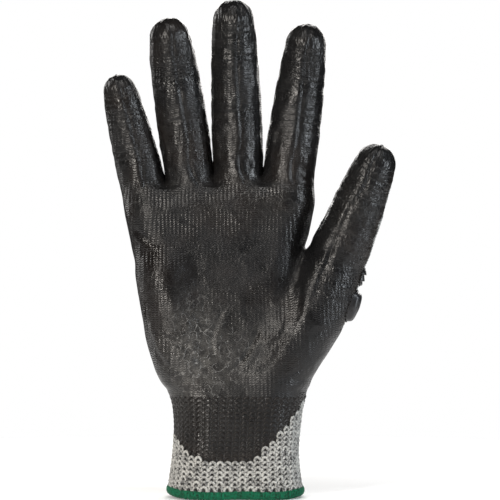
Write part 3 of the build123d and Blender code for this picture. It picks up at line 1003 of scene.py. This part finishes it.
# The coat's own edge is drawn smooth: its border vertices slide onto the line where the depth is zero.
coat_points = vertices.copy()
border = np.zeros(len(vertices), bool)
border[np.intersect1d(np.unique(faces[coated_quads]), np.unique(faces[~coated_quads]))] = True
near = np.where(border)[0]
for _ in range(2):
    here = coat_points[near]
    value = coat_depth(here)
    grad = np.stack([(coat_depth(here + d) - value) / 0.3 for d in np.eye(3) * 0.3], 1)
    grad -= normals[near] * (grad * normals[near]).sum(1, keepdims=True)
    size = np.maximum((grad**2).sum(1), 0.15)
    coat_points[near] -= np.clip(value / size, -1.2, 1.2)[:, None] * grad * 0.7
thickness = np.where(border, 0.22, COAT)
coat_outer = coat_points + normals * thickness[:, None]
coat_inner = coat_points - normals * 0.05
liner_inner = vertices - normals * LINER

crackle_place = 1.1 * bump_at(x, -20, 15) * bump_at(z, 70, 24) + 0.4 * bump_at(x, 6, 12) * bump_at(z, 72, 14)
crackle_place += 0.12 * bump_at(z, 150, 14) + 0.05 * smoothstep(165, 175, z)
pieces = 0
for region in sorted(set(face_regions)):
    node = region_nodes[region]
    own = face_regions == region
    quads = faces[own & coated_quads]
    if len(quads):
        obj, used = shell(f"{node}_coat_skin", quads, coat_outer, coat_inner, normals, nitrile)
        add_values(obj, "knit", np.tile(np.pad(knit_map[used], ((0, 0), (0, 1))), (2, 1)))
        add_values(obj, "edge", np.tile(np.maximum(depth[used], 0), 2))
        add_values(obj, "crackle", np.tile(np.clip(crackle_place[used], 0, 1), 2))
        belong(obj, region, f"{node}_coat")
        pieces += 1
    quads = faces[own]
    # The liner shell carries the near-black painted shade seen through the holes of the knit.
    obj, used = shell(f"{node}_liner_painted_shade", quads, vertices, liner_inner, normals, liner_painted_shade)
    add_values(obj, "shade", np.full(2 * len(used), 0.5))
    add_values(obj, "coated", np.append(smoothstep(-0.4, 0.4, depth[used]), np.zeros(len(used))))
    belong(obj, region, f"{node}_liner")
    pieces += 1
print("shell pieces:", pieces)

# %% [markdown]
# ## Loops of yarn
#
# Knitting is one short shape repeated: an arch of yarn that stands on the arch below it.
# A Geometry Nodes tree draws the arch from a formula and sets one on every point it is given, turned to lie
# in the fabric. The points come from rows and columns counted round the glove, as a knitting machine counts its
# needles: the count stays the same where the hand is wider, so the loops stretch there.


# %% The loop tree
class GeometryTree(Tree):
    def __init__(self, name, inputs):
        group = bpy.data.node_groups.new(name, "GeometryNodeTree")
        group.interface.new_socket(name="Geometry", in_out="INPUT", socket_type="NodeSocketGeometry")
        for label, kind, default in inputs:
            item = group.interface.new_socket(name=label, in_out="INPUT", socket_type=kind)
            if default is not None:
                item.default_value = default
        group.interface.new_socket(name="Geometry", in_out="OUTPUT", socket_type="NodeSocketGeometry")
        super().__init__(group)
        self.given = self.node("NodeGroupInput")

    def named(self, name, kind="FLOAT_VECTOR"):
        item = self.node("GeometryNodeInputNamedAttribute", data_type=kind)
        item.inputs["Name"].default_value = name
        return out_of(item, "Attribute")

    def chain(self, kind, geometry, label="Geometry", **settings):
        item = self.node(kind, **settings)
        self.feed(socket(item, label), geometry)
        return item

    def steps(self):
        """A line of points, and how far along it each of them is, from 0 to 1."""
        line = self.node("GeometryNodeMeshLine", mode="OFFSET")
        self.feed(line.inputs["Count"], self.given.outputs["Steps"])
        index = self.node("GeometryNodeInputIndex").outputs[0]
        return line.outputs[0], self.math("DIVIDE", index, self.minus(self.given.outputs["Steps"], 1.0))

    def vector(self, *values):
        item = self.node("ShaderNodeCombineXYZ")
        for target, value in zip(item.inputs, values):
            self.feed(target, value)
        return item.outputs[0]

    def thread(self, line, place, radius):
        """A tube along the line, once its points have moved to their places."""
        moved = self.chain("GeometryNodeSetPosition", line)
        self.feed(moved.inputs["Position"], place)
        curve = self.chain("GeometryNodeMeshToCurve", moved.outputs[0], "Mesh")
        section = self.node("GeometryNodeCurvePrimitiveCircle", mode="RADIUS")
        self.feed(section.inputs["Resolution"], self.given.outputs["Sides"])
        self.feed(socket(section, "Radius"), radius)
        tube = self.chain("GeometryNodeCurveToMesh", curve.outputs[0], "Curve")
        self.feed(tube.inputs["Profile Curve"], section.outputs[0])
        return tube.outputs[0]

    def place_on_points(self, shape):
        """Sets the shape on every point, turned by the point's own directions and sized by its own size."""
        turn = self.node("FunctionNodeAxesToRotation", primary_axis="X", secondary_axis="Z")
        self.feed(turn.inputs["Primary Axis"], self.named("across"))
        self.feed(turn.inputs["Secondary Axis"], self.named("out"))
        item = self.chain("GeometryNodeInstanceOnPoints", self.given.outputs["Geometry"], "Points")
        self.feed(item.inputs["Instance"], shape)
        self.feed(item.inputs["Rotation"], turn.outputs[0])
        self.feed(item.inputs["Scale"], self.named("size"))
        shade = self.node("FunctionNodeRandomValue", data_type="FLOAT")
        self.feed(socket(shade, "Seed"), self.given.outputs["Seed"])
        settings = dict(data_type="FLOAT", domain="INSTANCE")
        store = self.chain("GeometryNodeStoreNamedAttribute", item.outputs[0], **settings)
        store.inputs["Name"].default_value = "shade"
        self.feed(socket(store, "Value"), out_of(shade, "Value"))
        real = self.chain("GeometryNodeRealizeInstances", store.outputs[0])
        smooth = self.chain("GeometryNodeSetShadeSmooth", real.outputs[0])
        paint = self.chain("GeometryNodeSetMaterial", smooth.outputs[0])
        self.feed(paint.inputs["Material"], self.given.outputs["Material"])
        end = self.node("NodeGroupOutput")
        self.feed(end.inputs["Geometry"], paint.outputs[0])


FLOAT, WHOLE, PAINT = "NodeSocketFloat", "NodeSocketInt", "NodeSocketMaterial"
loops = GeometryTree("Knit loops", [
    ("Width", FLOAT, 0.0037), ("Height", FLOAT, 0.0025), ("Lift", FLOAT, 0.0005), ("Roundness", FLOAT, 0.7),
    ("Yarn Radius", FLOAT, 0.0006), ("Steps", WHOLE, 7), ("Sides", WHOLE, 5), ("Bead Radius", FLOAT, 0.0004),
    ("Seed", WHOLE, 3), ("Material", PAINT, None),
])
given = loops.given.outputs
line, t = loops.steps()
angle = loops.times(t, math.pi)
arch = loops.math("POWER", loops.math("MAXIMUM", loops.math("SINE", angle), 0.0), given["Roundness"])
place = loops.vector(
    loops.times(loops.times(loops.math("COSINE", angle), -0.43), given["Width"]),
    loops.times(loops.minus(arch, 0.6), given["Height"]),
    loops.times(arch, given["Lift"]),
)
tube = loops.thread(line, place, given["Yarn Radius"])
bead = loops.node("GeometryNodeMeshUVSphere")
bead.inputs["Segments"].default_value = 5
bead.inputs["Rings"].default_value = 4
loops.feed(bead.inputs["Radius"], given["Bead Radius"])
beside = loops.vector(
    loops.times(given["Width"], -0.27),
    loops.times(given["Height"], -0.02),
    loops.times(given["Lift"], 1.5),
)
bead_moved = loops.chain("GeometryNodeTransform", bead.outputs[0])
loops.feed(bead_moved.inputs["Translation"], beside)
with_bead = loops.node("GeometryNodeSwitch", input_type="GEOMETRY")
loops.feed(with_bead.inputs["Switch"], loops.math("GREATER_THAN", given["Bead Radius"], 0.00001))
loops.feed(with_bead.inputs["True"], bead_moved.outputs[0])
joined = loops.node("GeometryNodeJoinGeometry")
loops.feed(joined.inputs[0], tube)
loops.feed(joined.inputs[0], with_bead.outputs[0])
loops.place_on_points(joined.outputs[0])


def grow(name, tree, points, across, outward, sizes, material, **values):
    """Runs a tree on points and gives back one plain mesh."""
    source = bpy.data.meshes.new(name + "_points")
    source.from_pydata((np.asarray(points) * MM).tolist(), [], [])
    holder = bpy.data.objects.new(name + "_points", source)
    scene.collection.objects.link(holder)
    for label, data in (("across", across), ("out", outward), ("size", sizes)):
        add_values(holder, label, np.asarray(data, float))
    modifier = holder.modifiers.new("grow", "NODES")
    sockets = [item for item in tree.tree.interface.items_tree if item.in_out == "INPUT"]
    identifiers = {item.name: item.identifier for item in sockets}
    modifier.node_group = tree.tree
    for label, value in values.items():
        modifier[identifiers[label.replace("_", " ")]] = value
    modifier[identifiers["Material"]] = material
    bpy.context.view_layer.update()
    graph = bpy.context.evaluated_depsgraph_get()
    mesh = bpy.data.meshes.new_from_object(holder.evaluated_get(graph))
    mesh.name = name
    bpy.data.objects.remove(holder)
    bpy.data.meshes.remove(source)
    obj = bpy.data.objects.new(name, mesh)
    scene.collection.objects.link(obj)
    rest = np.zeros(len(mesh.vertices) * 3, np.float32)
    mesh.vertices.foreach_get("co", rest)
    add_values(obj, "rest", rest.reshape(-1, 3))
    return obj


# %% Rows and columns of loops
skin_tree = BVHTree.FromPolygons(vertices.tolist(), faces.tolist())


def cast(origins, directions):
    """Where rays from inside the hand leave the skin, and the skin's outward direction there."""
    hits, outward, found = [], [], []
    for origin, direction in zip(origins, directions):
        spot, normal, _, _ = skin_tree.ray_cast(Vector(origin), Vector(direction))
        found.append(spot is not None)
        hits.append(tuple(spot) if spot else tuple(origin))
        outward.append(tuple(normal) if spot else (0, 0, 1))
    hits, outward = np.array(hits), np.array(outward)
    outward *= np.sign((outward * np.asarray(directions)).sum(1, keepdims=True) + 1e-9)
    return hits, outward, np.array(found)


def row_round(centre, across, back, first, last, count):
    """Evenly spaced points round a limb, between two angles measured from its palm side."""
    angles = np.linspace(first, last, 73)
    rays = np.sin(angles)[:, None] * across - np.cos(angles)[:, None] * back
    spots, outward, found = cast(np.tile(centre, (len(angles), 1)), rays)
    arc = lengths_along(spots)
    wanted = (np.arange(count) + 0.5) / count * arc[-1]
    place = np.stack([np.interp(wanted, arc, spots[:, a]) for a in range(3)], 1)
    facing = unit(np.stack([np.interp(wanted, arc, outward[:, a]) for a in range(3)], 1))
    return place, facing, arc[-1] / count, found.all()


def lattice(rows, first, last, count, width, height):
    """Loop points on a stack of rows. Each row is (centre, across, back, along, row spacing)."""
    points, across, outward, sizes = [], [], [], []
    for centre, side, back, along, spacing in rows:
        place, facing, gap, whole = row_round(centre, side, back, first, last, count)
        if not whole:
            continue
        tangent = unit(np.cross(np.broadcast_to(along, facing.shape), facing))
        points.append(place)
        across.append(tangent)
        outward.append(facing)
        sizes.append(np.tile([gap / width, spacing / height, 1.0], (count, 1)))
    return [np.vstack(part) for part in (points, across, outward, sizes)]


def limb_rows(name, first, last, spacing):
    """Rows up a limb, square to its path."""
    path = paths[name][0]
    run = lengths_along(path)
    rows = []
    for s in np.arange(first, last, spacing):
        centre = np.array([np.interp(s, run, path[:, a]) for a in range(3)])
        ahead = np.array([np.interp(s + 2, run, path[:, a]) for a in range(3)])
        behind = np.array([np.interp(s - 2, run, path[:, a]) for a in range(3)])
        along = unit(ahead - behind)
        back = back_of(name)
        back = unit(back - along * (back @ along))
        rows.append((centre, np.cross(back, along), back, along, spacing))
    return rows


up = np.array([0.0, 0, 1])
right, backward = np.array([1.0, 0, 0]), np.array([0.0, 1, 0])


def level_rows(low, high, spacing):
    """Level rows round the cuff and the palm."""
    rows = []
    for height in np.arange(low, high, spacing):
        middle_x = float(ease(np.array([height]), 1)[0])
        rows.append((np.array([middle_x, 0, height]), right, backward, up, spacing))
    return rows


CUFF_WIDTH, CUFF_HEIGHT, CUFF_COLUMNS = 3.7, 2.45, 47
COVERED_SINK = 0.1  # the rubber pulls the coated loops in a little
cuff_rows = level_rows(5.6, 57.6, CUFF_HEIGHT)
cuff_set = lattice(cuff_rows, -math.pi, math.pi, CUFF_COLUMNS, CUFF_WIDTH, CUFF_HEIGHT)
cuff_depth = coat_depth(cuff_set[0] + 0.8 * noise(cuff_set[0], 4.0, 5.5)[:, None] * up)
HAND_WIDTH, HAND_HEIGHT = 2.15, 1.5
BACK_FROM, BACK_TO, BACK_COLUMNS = math.pi * 0.42, math.pi * 1.58, 62
back_rows = level_rows(58.2, 153, HAND_HEIGHT)
hand_sets = [lattice(back_rows, BACK_FROM, BACK_TO, BACK_COLUMNS, HAND_WIDTH, HAND_HEIGHT)]
for name in ALL_LIMBS:
    total = lengths_along(paths[name][0])[-1]
    rows = limb_rows(name, 13 if name != "thumb" else 44, total - 4, HAND_HEIGHT)
    columns = 15 if name != "little" else 13
    hand_sets.append(lattice(rows, 1.75, 2 * math.pi - 1.75, columns, HAND_WIDTH, HAND_HEIGHT))
loop_points, loop_across, loop_out, loop_size = [np.vstack(part) for part in zip(*hand_sets)]
loop_depth = coat_depth(loop_points)
loop_limb = np.concatenate([np.full(len(part[0]), number) for number, part in enumerate(hand_sets)])
own_gap = limb_gaps(loop_points)
keep = loop_depth < -0.5
for number in range(5):
    on_limb = own_gap[:, number] < 1.2
    if number < 4:
        on_limb &= loop_points[:, 2] > 150
    else:
        on_limb &= 0.6 * loop_points[:, 0] + 0.8 * loop_points[:, 2] > 112
    keep &= ~(on_limb & (loop_limb == 0))
loop_parts = [part[keep] for part in (loop_points, loop_across, loop_out, loop_size)]
loop_regions = region_of(loop_parts[0])
hand_values = dict(
    Width=HAND_WIDTH * MM, Height=HAND_HEIGHT * MM, Lift=0.28 * MM, Roundness=0.95, Yarn_Radius=0.38 * MM,
    Steps=6, Sides=4, Bead_Radius=0.0, Seed=SEED,
)
cuff_values = dict(
    Width=CUFF_WIDTH * MM, Height=CUFF_HEIGHT * MM, Lift=0.5 * MM, Roundness=0.85, Yarn_Radius=0.76 * MM,
    Steps=7, Sides=5, Bead_Radius=0.46 * MM, Seed=SEED,
)
coated_values = {**cuff_values, "Yarn_Radius": 0.78 * MM, "Lift": 0.3 * MM}
for region in sorted(set(loop_regions)):
    own = loop_regions == region
    parts = [part[own] for part in loop_parts]
    obj = grow(f"{region_nodes[region]}_knit", loops, *parts, yarn, **hand_values)
    belong(obj, region)
shown = (cuff_depth < 0) & (cuff_set[0][:, 2] < 57.5)
obj = grow("cuff_knit_loops", loops, *[part[shown] for part in cuff_set], yarn, **cuff_values)
belong(obj, "cuff")
covered = (cuff_depth >= 0) & (cuff_set[0][:, 2] < RELIEF_TOP + 1)
cuff_set[0][covered] -= cuff_set[2][covered] * COVERED_SINK
obj = grow("cuff_coated_loops", loops, *[part[covered] for part in cuff_set], coated_yarn, **coated_values)
belong(obj, "cuff", "cuff_coat")
print("loops on the hand:", len(loop_parts[0]))
print("loops on the cuff:", int(shown.sum()), "bare,", int(covered.sum()), "under the coat")

# %% [markdown]
# ## The hem
#
# An overlock stitch wraps the raw edge of the cuff in thread. Each turn climbs the outside, goes round the edge
# and comes up the inside. The tree draws one turn and repeats it round the cuff, with uneven lengths.

# %% Overlocked hem
WRAP = 285  # degrees that a turn of thread goes round the edge
turns = GeometryTree("Overlock turns", [
    ("Reach", FLOAT, 0.0019), ("Half Width", FLOAT, 0.0015), ("Skew", FLOAT, 0.0006),
    ("Thread Radius", FLOAT, 0.00036), ("Steps", WHOLE, 10), ("Sides", WHOLE, 4),
    ("Seed", WHOLE, 5), ("Material", PAINT, None),
])
given = turns.given.outputs
line, t = turns.steps()
off_middle = turns.minus(t, 0.5)
angle = turns.times(off_middle, math.radians(WRAP))
place = turns.vector(
    turns.times(off_middle, given["Skew"]),
    turns.times(turns.times(turns.math("COSINE", angle), -1.0), given["Reach"]),
    turns.times(turns.math("SINE", angle), given["Half Width"]),
)
turns.place_on_points(turns.thread(line, place, given["Thread Radius"]))

HEM_TURNS = 300
ring, ring_out, _, _ = row_round(np.array([-0.7, 0, 3.0]), right, backward, -math.pi, math.pi, HEM_TURNS)
ring_out = unit(ring_out * (1, 1, 0))
ring_x = ring[:, 0]
hem_rise = 2.45 + 1.7 * smoothstep(-26, -37, ring_x) + 0.7 * smoothstep(24, 36, ring_x)
hem_rise = hem_rise + 0.25 * np.sin(ring_x * 0.21 + 1)
hem_points = ring - ring_out * 0.2
hem_points[:, 2] = hem_rise
hem_across = unit(np.cross(up, ring_out))
wobble = rng.rand(HEM_TURNS)
hem_size = np.stack([np.ones(HEM_TURNS), 0.96 + 0.22 * wobble, 0.97 + 0.08 * rng.rand(HEM_TURNS)], 1)
hem_values = dict(Reach=1.95 * MM, Half_Width=1.55 * MM, Skew=0.8 * MM, Thread_Radius=0.38 * MM)
hem_values.update(Steps=10, Sides=5, Seed=SEED)
obj = grow("cuff_hem_overlock", turns, hem_points, hem_across, ring_out, hem_size, hem_thread, **hem_values)
belong(obj, "cuff", "cuff_hem")


def ring_tube(name, centres, outward, wide, tall, sides, material):
    """A closed tube through a ring of points, with an oval section."""
    count = len(centres)
    angles = np.linspace(0, 2 * math.pi, sides, endpoint=False)
    sideways, upward = np.cos(angles)[None, :, None] * wide, np.sin(angles)[None, :, None] * tall
    points = centres[:, None] + sideways * outward[:, None] + upward * up
    polygons = []
    for i in range(count):
        for j in range(sides):
            a, b = i * sides + j, i * sides + (j + 1) % sides
            c, d = ((i + 1) % count) * sides + (j + 1) % sides, ((i + 1) % count) * sides + j
            polygons.append((a, b, c, d))
    return finish_mesh(name, points.reshape(-1, 3), polygons, material)


obj = ring_tube("cuff_hem_core", hem_points[::2], ring_out[::2], 1.45, 1.85, 10, hem_thread)
belong(obj, "cuff")
ELASTIC_RINGS, ELASTIC_LOWEST, ELASTIC_SPACING, ELASTIC_RADIUS = 6, 9, 4.8, 0.36
for number in range(ELASTIC_RINGS):
    centre = np.array([-0.7, 0, ELASTIC_LOWEST + ELASTIC_SPACING * number])
    loop, facing, _, _ = row_round(centre, right, backward, -math.pi, math.pi, 110)
    facing = unit(facing * (1, 1, 0))
    loop = loop - facing * (LINER + 0.22)
    obj = ring_tube(f"cuff_elastic_{number + 1}", loop, facing, ELASTIC_RADIUS, ELASTIC_RADIUS, 6, elastic)
    belong(obj, "cuff", "cuff_elastic_threads")
print("hem turns:", HEM_TURNS, " elastic rings:", ELASTIC_RINGS)

# %% [markdown]
# ## Moulded guards
#
# The guards are soft rubber mouldings sewn to the back. Each is drawn on the skin itself: a rounded patch of
# rays finds the fabric, and the patch is raised from it by a height that gives the sewn flange, the body and its
# grooves.


# %% Guards
STEPS_ACROSS, STEPS_ALONG = 22, 30
SQUARENESS = 3.6
SEAM_INSET = 0.93
STITCH_SPACING = 2.3
BACK_SET = 0.45
stitches = []


def reach_of(u, v):
    """How far out a place on a patch is: 0 in its middle, 1 on its rounded-square rim."""
    return (np.abs(u) ** SQUARENESS + np.abs(v) ** SQUARENESS) ** (1 / SQUARENESS)


def patch(name, spots, region, height, across_size, along_size, node):
    """A closed moulding: spots(u, v) gives skin points and directions, height(u, v, e) the relief in mm."""
    ticks = [np.linspace(-1, 1, steps + 1) for steps in (STEPS_ACROSS, STEPS_ALONG)]
    u, v = np.meshgrid(*ticks, indexing="ij")
    u, v = np.sin(u * math.pi / 2), np.sin(v * math.pi / 2)
    size = np.maximum(np.abs(u), np.abs(v)) / np.maximum(reach_of(u, v), 1e-6)
    u, v = u * size, v * size
    reach = reach_of(u, v)
    place, facing = spots(u.ravel(), v.ravel())
    rise = height(u.ravel(), v.ravel(), reach.ravel())
    top = place + facing * rise[:, None]
    bottom = place - facing * BACK_SET
    index = np.arange(u.size).reshape(u.shape)
    quads = np.stack([index[:-1, :-1], index[1:, :-1], index[1:, 1:], index[:-1, 1:]], -1).reshape(-1, 4)
    cross = np.cross(top[quads[:, 2]] - top[quads[:, 0]], top[quads[:, 3]] - top[quads[:, 1]])
    if (cross * facing[quads[:, 0]]).sum() < 0:
        quads = quads[:, ::-1]
    edges = np.vstack([quads[:, [i, (i + 1) % 4]] for i in range(4)])
    known = {(a, b) for a, b in edges.tolist()}
    rim = [(a, b) for a, b in edges.tolist() if (b, a) not in known]
    shift = u.size
    sides = [(b, a, a + shift, b + shift) for a, b in rim]
    polygons = quads.tolist() + (quads[:, ::-1] + shift).tolist() + sides
    obj = finish_mesh(name, np.vstack([top, bottom]), polygons, guard_rubber)
    belong(obj, region, node)
    count = int((across_size + along_size) * 2 / STITCH_SPACING)
    turn = np.linspace(0, 2 * math.pi, count, endpoint=False)
    a, b = np.cos(turn), np.sin(turn)
    scale = SEAM_INSET / reach_of(a, b)
    seam, seam_out = spots(a * scale, b * scale)
    seam_height = height(a * scale, b * scale, np.full(count, SEAM_INSET))
    seam = seam + seam_out * (seam_height[:, None] + 0.12)
    direction = unit(np.roll(seam, -1, 0) - np.roll(seam, 1, 0))
    stitches.append((region, seam, direction, seam_out))


def flange(e, flange_height=0.9):
    """A thin sewn edge: rounded at the rim, flat under the stitches."""
    return flange_height * np.sqrt(np.clip(1 - e**14, 0, 1))


def body_height(e, top, edge=0.86):
    return top * np.sqrt(np.clip(1 - (np.clip(e / edge, 0, 1)) ** 7, 0, 1))


def limb_spots(name, first, last, centre_angle, half_angle):
    path = paths[name][0]
    run = lengths_along(path)

    def spots(u, v):
        s = (first + last) / 2 + v * (last - first) / 2
        centre = np.stack([np.interp(s, run, path[:, a]) for a in range(3)], 1)
        ahead, behind = [np.stack([np.interp(s + d, run, path[:, a]) for a in range(3)], 1) for d in (2, -2)]
        along = unit(ahead - behind)
        back = back_of(name)
        back = unit(back - along * (along @ back)[:, None])
        across = np.cross(back, along)
        angle = centre_angle + u * half_angle
        rays = np.sin(angle)[:, None] * across - np.cos(angle)[:, None] * back
        place, _, _ = cast(centre, rays)
        return place, rays

    return spots


def back_spots(corner_low, corner_high, half_width):
    """Spots on the back of the hand along a line from one (x, z) to another."""
    low, high = np.array(corner_low, float), np.array(corner_high, float)
    run = high - low
    side = np.array([run[1], -run[0]]) / np.linalg.norm(run)

    def spots(u, v):
        where = (low + high) / 2 + v[:, None] * run / 2 + u[:, None] * side * half_width
        origins = np.stack([where[:, 0], np.zeros(len(u)), where[:, 1]], 1)
        place, outward, _ = cast(origins, np.tile(backward, (len(u), 1)))
        return place, unit(outward * 0.5 + backward)

    return spots


for name in FINGERS:
    stations = lines[name][0]
    marks = lengths_along(stations)
    for part, first, last, grooves in (
        ("base", marks[1] + 1.0, marks[2] - 4.0, 3),
        ("middle", marks[2] + 5.5, marks[3] - 3.5, 2),
    ):
        region = f"{name}_{part}"

        def height(u, v, e, grooves=grooves):
            body = body_height(e, 2.3)
            cuts = sum(bump_at(v, -1 + 2 * (k + 1) / (grooves + 1), 0.09) for k in range(grooves))
            return flange(e) + body * (1 - 0.62 * np.clip(cuts, 0, 1) * smoothstep(0.8, 0.55, np.abs(u)))

        half = 0.68 if name != "little" else 0.72
        spots = limb_spots(name, first, last, math.pi, half)
        patch(f"{region}_guard_pad", spots, region, height, half * 22, last - first, f"{region}_guard")

KNUCKLES = {"index": (26.5, 138.5), "middle": (2.2, 141.0), "ring": (-21.0, 137.0), "little": (-41.5, 129.5)}
line_x = np.array([place[0] for place in KNUCKLES.values()])[::-1]
line_z = np.array([place[1] for place in KNUCKLES.values()])[::-1]


def knuckle_swell(v):
    """The place across the hand for v, and how close it is to a knuckle, from 0 to 1."""
    x = (line_x[0] + line_x[-1]) / 2 + v * (line_x[-1] - line_x[0] + 17) / 2
    return x, sum(bump_at(x, k, 7.5) for k in line_x)


def knuckle_spots(u, v):
    """Along the row of knuckles (v) and across it (u), wider at each knuckle."""
    x, swell = knuckle_swell(v)
    z = np.interp(x, line_x, line_z) + u * (6.2 + 4.0 * swell)
    place, outward, _ = cast(np.stack([x, np.zeros(len(x)), z], 1), np.tile(backward, (len(x), 1)))
    return place, unit(outward * 0.6 + backward)


def knuckle_height(u, v, e):
    _, swell = knuckle_swell(v)
    rows = np.clip(bump_at(u, 0.33, 0.1) + bump_at(u, -0.33, 0.1), 0, 1) * smoothstep(0.5, 0.8, swell)
    return flange(e) + body_height(e, 2.0) * (0.65 + 0.75 * swell) * (1 - 0.4 * rows)


patch("knuckle_guard_pad", knuckle_spots, "palm", knuckle_height, 20, 88, "knuckle_guard")
for name, (x_top, z_top) in KNUCKLES.items():
    top = (x_top, z_top - 12.2)
    foot = (x_top * 0.62 - 1.0, z_top - 55)

    def height(u, v, e):
        cuts = sum(bump_at(v, k, 0.035) for k in (-0.5, 0, 0.5))
        return flange(e) + body_height(e, 2.4, 0.8) * (1 - 0.6 * np.clip(cuts, 0, 1))

    node = f"back_guard_{name}"
    patch(f"{node}_pad", back_spots(foot, top, 5.2), "palm", height, 10, 43, node)

past = lengths_along(lines["thumb"][0])


def saw_height(u, v, e):
    teeth = ((v + 1) * 1.5) % 1.0
    return flange(e) + body_height(e, 1.6, 0.9) * (0.4 + 0.8 * (1 - teeth))


def dome_height(u, v, e):
    return flange(e) + body_height(e, 3.4, 0.88) * (1 - 0.15 * np.abs(v))


for label, first, last, angle, half, shape, region, node in (
    ("thumb_heel", past[1] + 5, past[2] - 9.5, 2.15, 0.62, dome_height, "palm", "thumb_heel_guard"),
    ("thumb_base", past[2] - 8, past[2] + 2.5, 2.3, 0.6, saw_height, "thumb_swing", "thumb_base_guard"),
    ("thumb_middle", past[3] + 1, past[4] - 4, 3.35, 0.55, saw_height, "thumb_base", "thumb_middle_guard"),
):
    spots = limb_spots("thumb", first, last, angle, half)
    patch(f"{label}_guard_pad", spots, region, shape, half * 26, last - first, node)

seam_values = dict(
    Width=1.5 * MM, Height=0.02 * MM, Lift=0.22 * MM, Roundness=0.6, Yarn_Radius=0.24 * MM,
    Steps=5, Sides=4, Bead_Radius=0.0, Seed=SEED,
)
for region in sorted({stitch[0] for stitch in stitches}):
    parts = [stitch[1:] for stitch in stitches if stitch[0] == region]
    seam, direction, seam_out = [np.vstack(column) for column in zip(*parts)]
    sizes = np.ones_like(seam)
    obj = grow(f"{region}_guard_stitches", loops, seam, direction, seam_out, sizes, coated_yarn, **seam_values)
    belong(obj, region)
print("guard seams:", len(stitches))
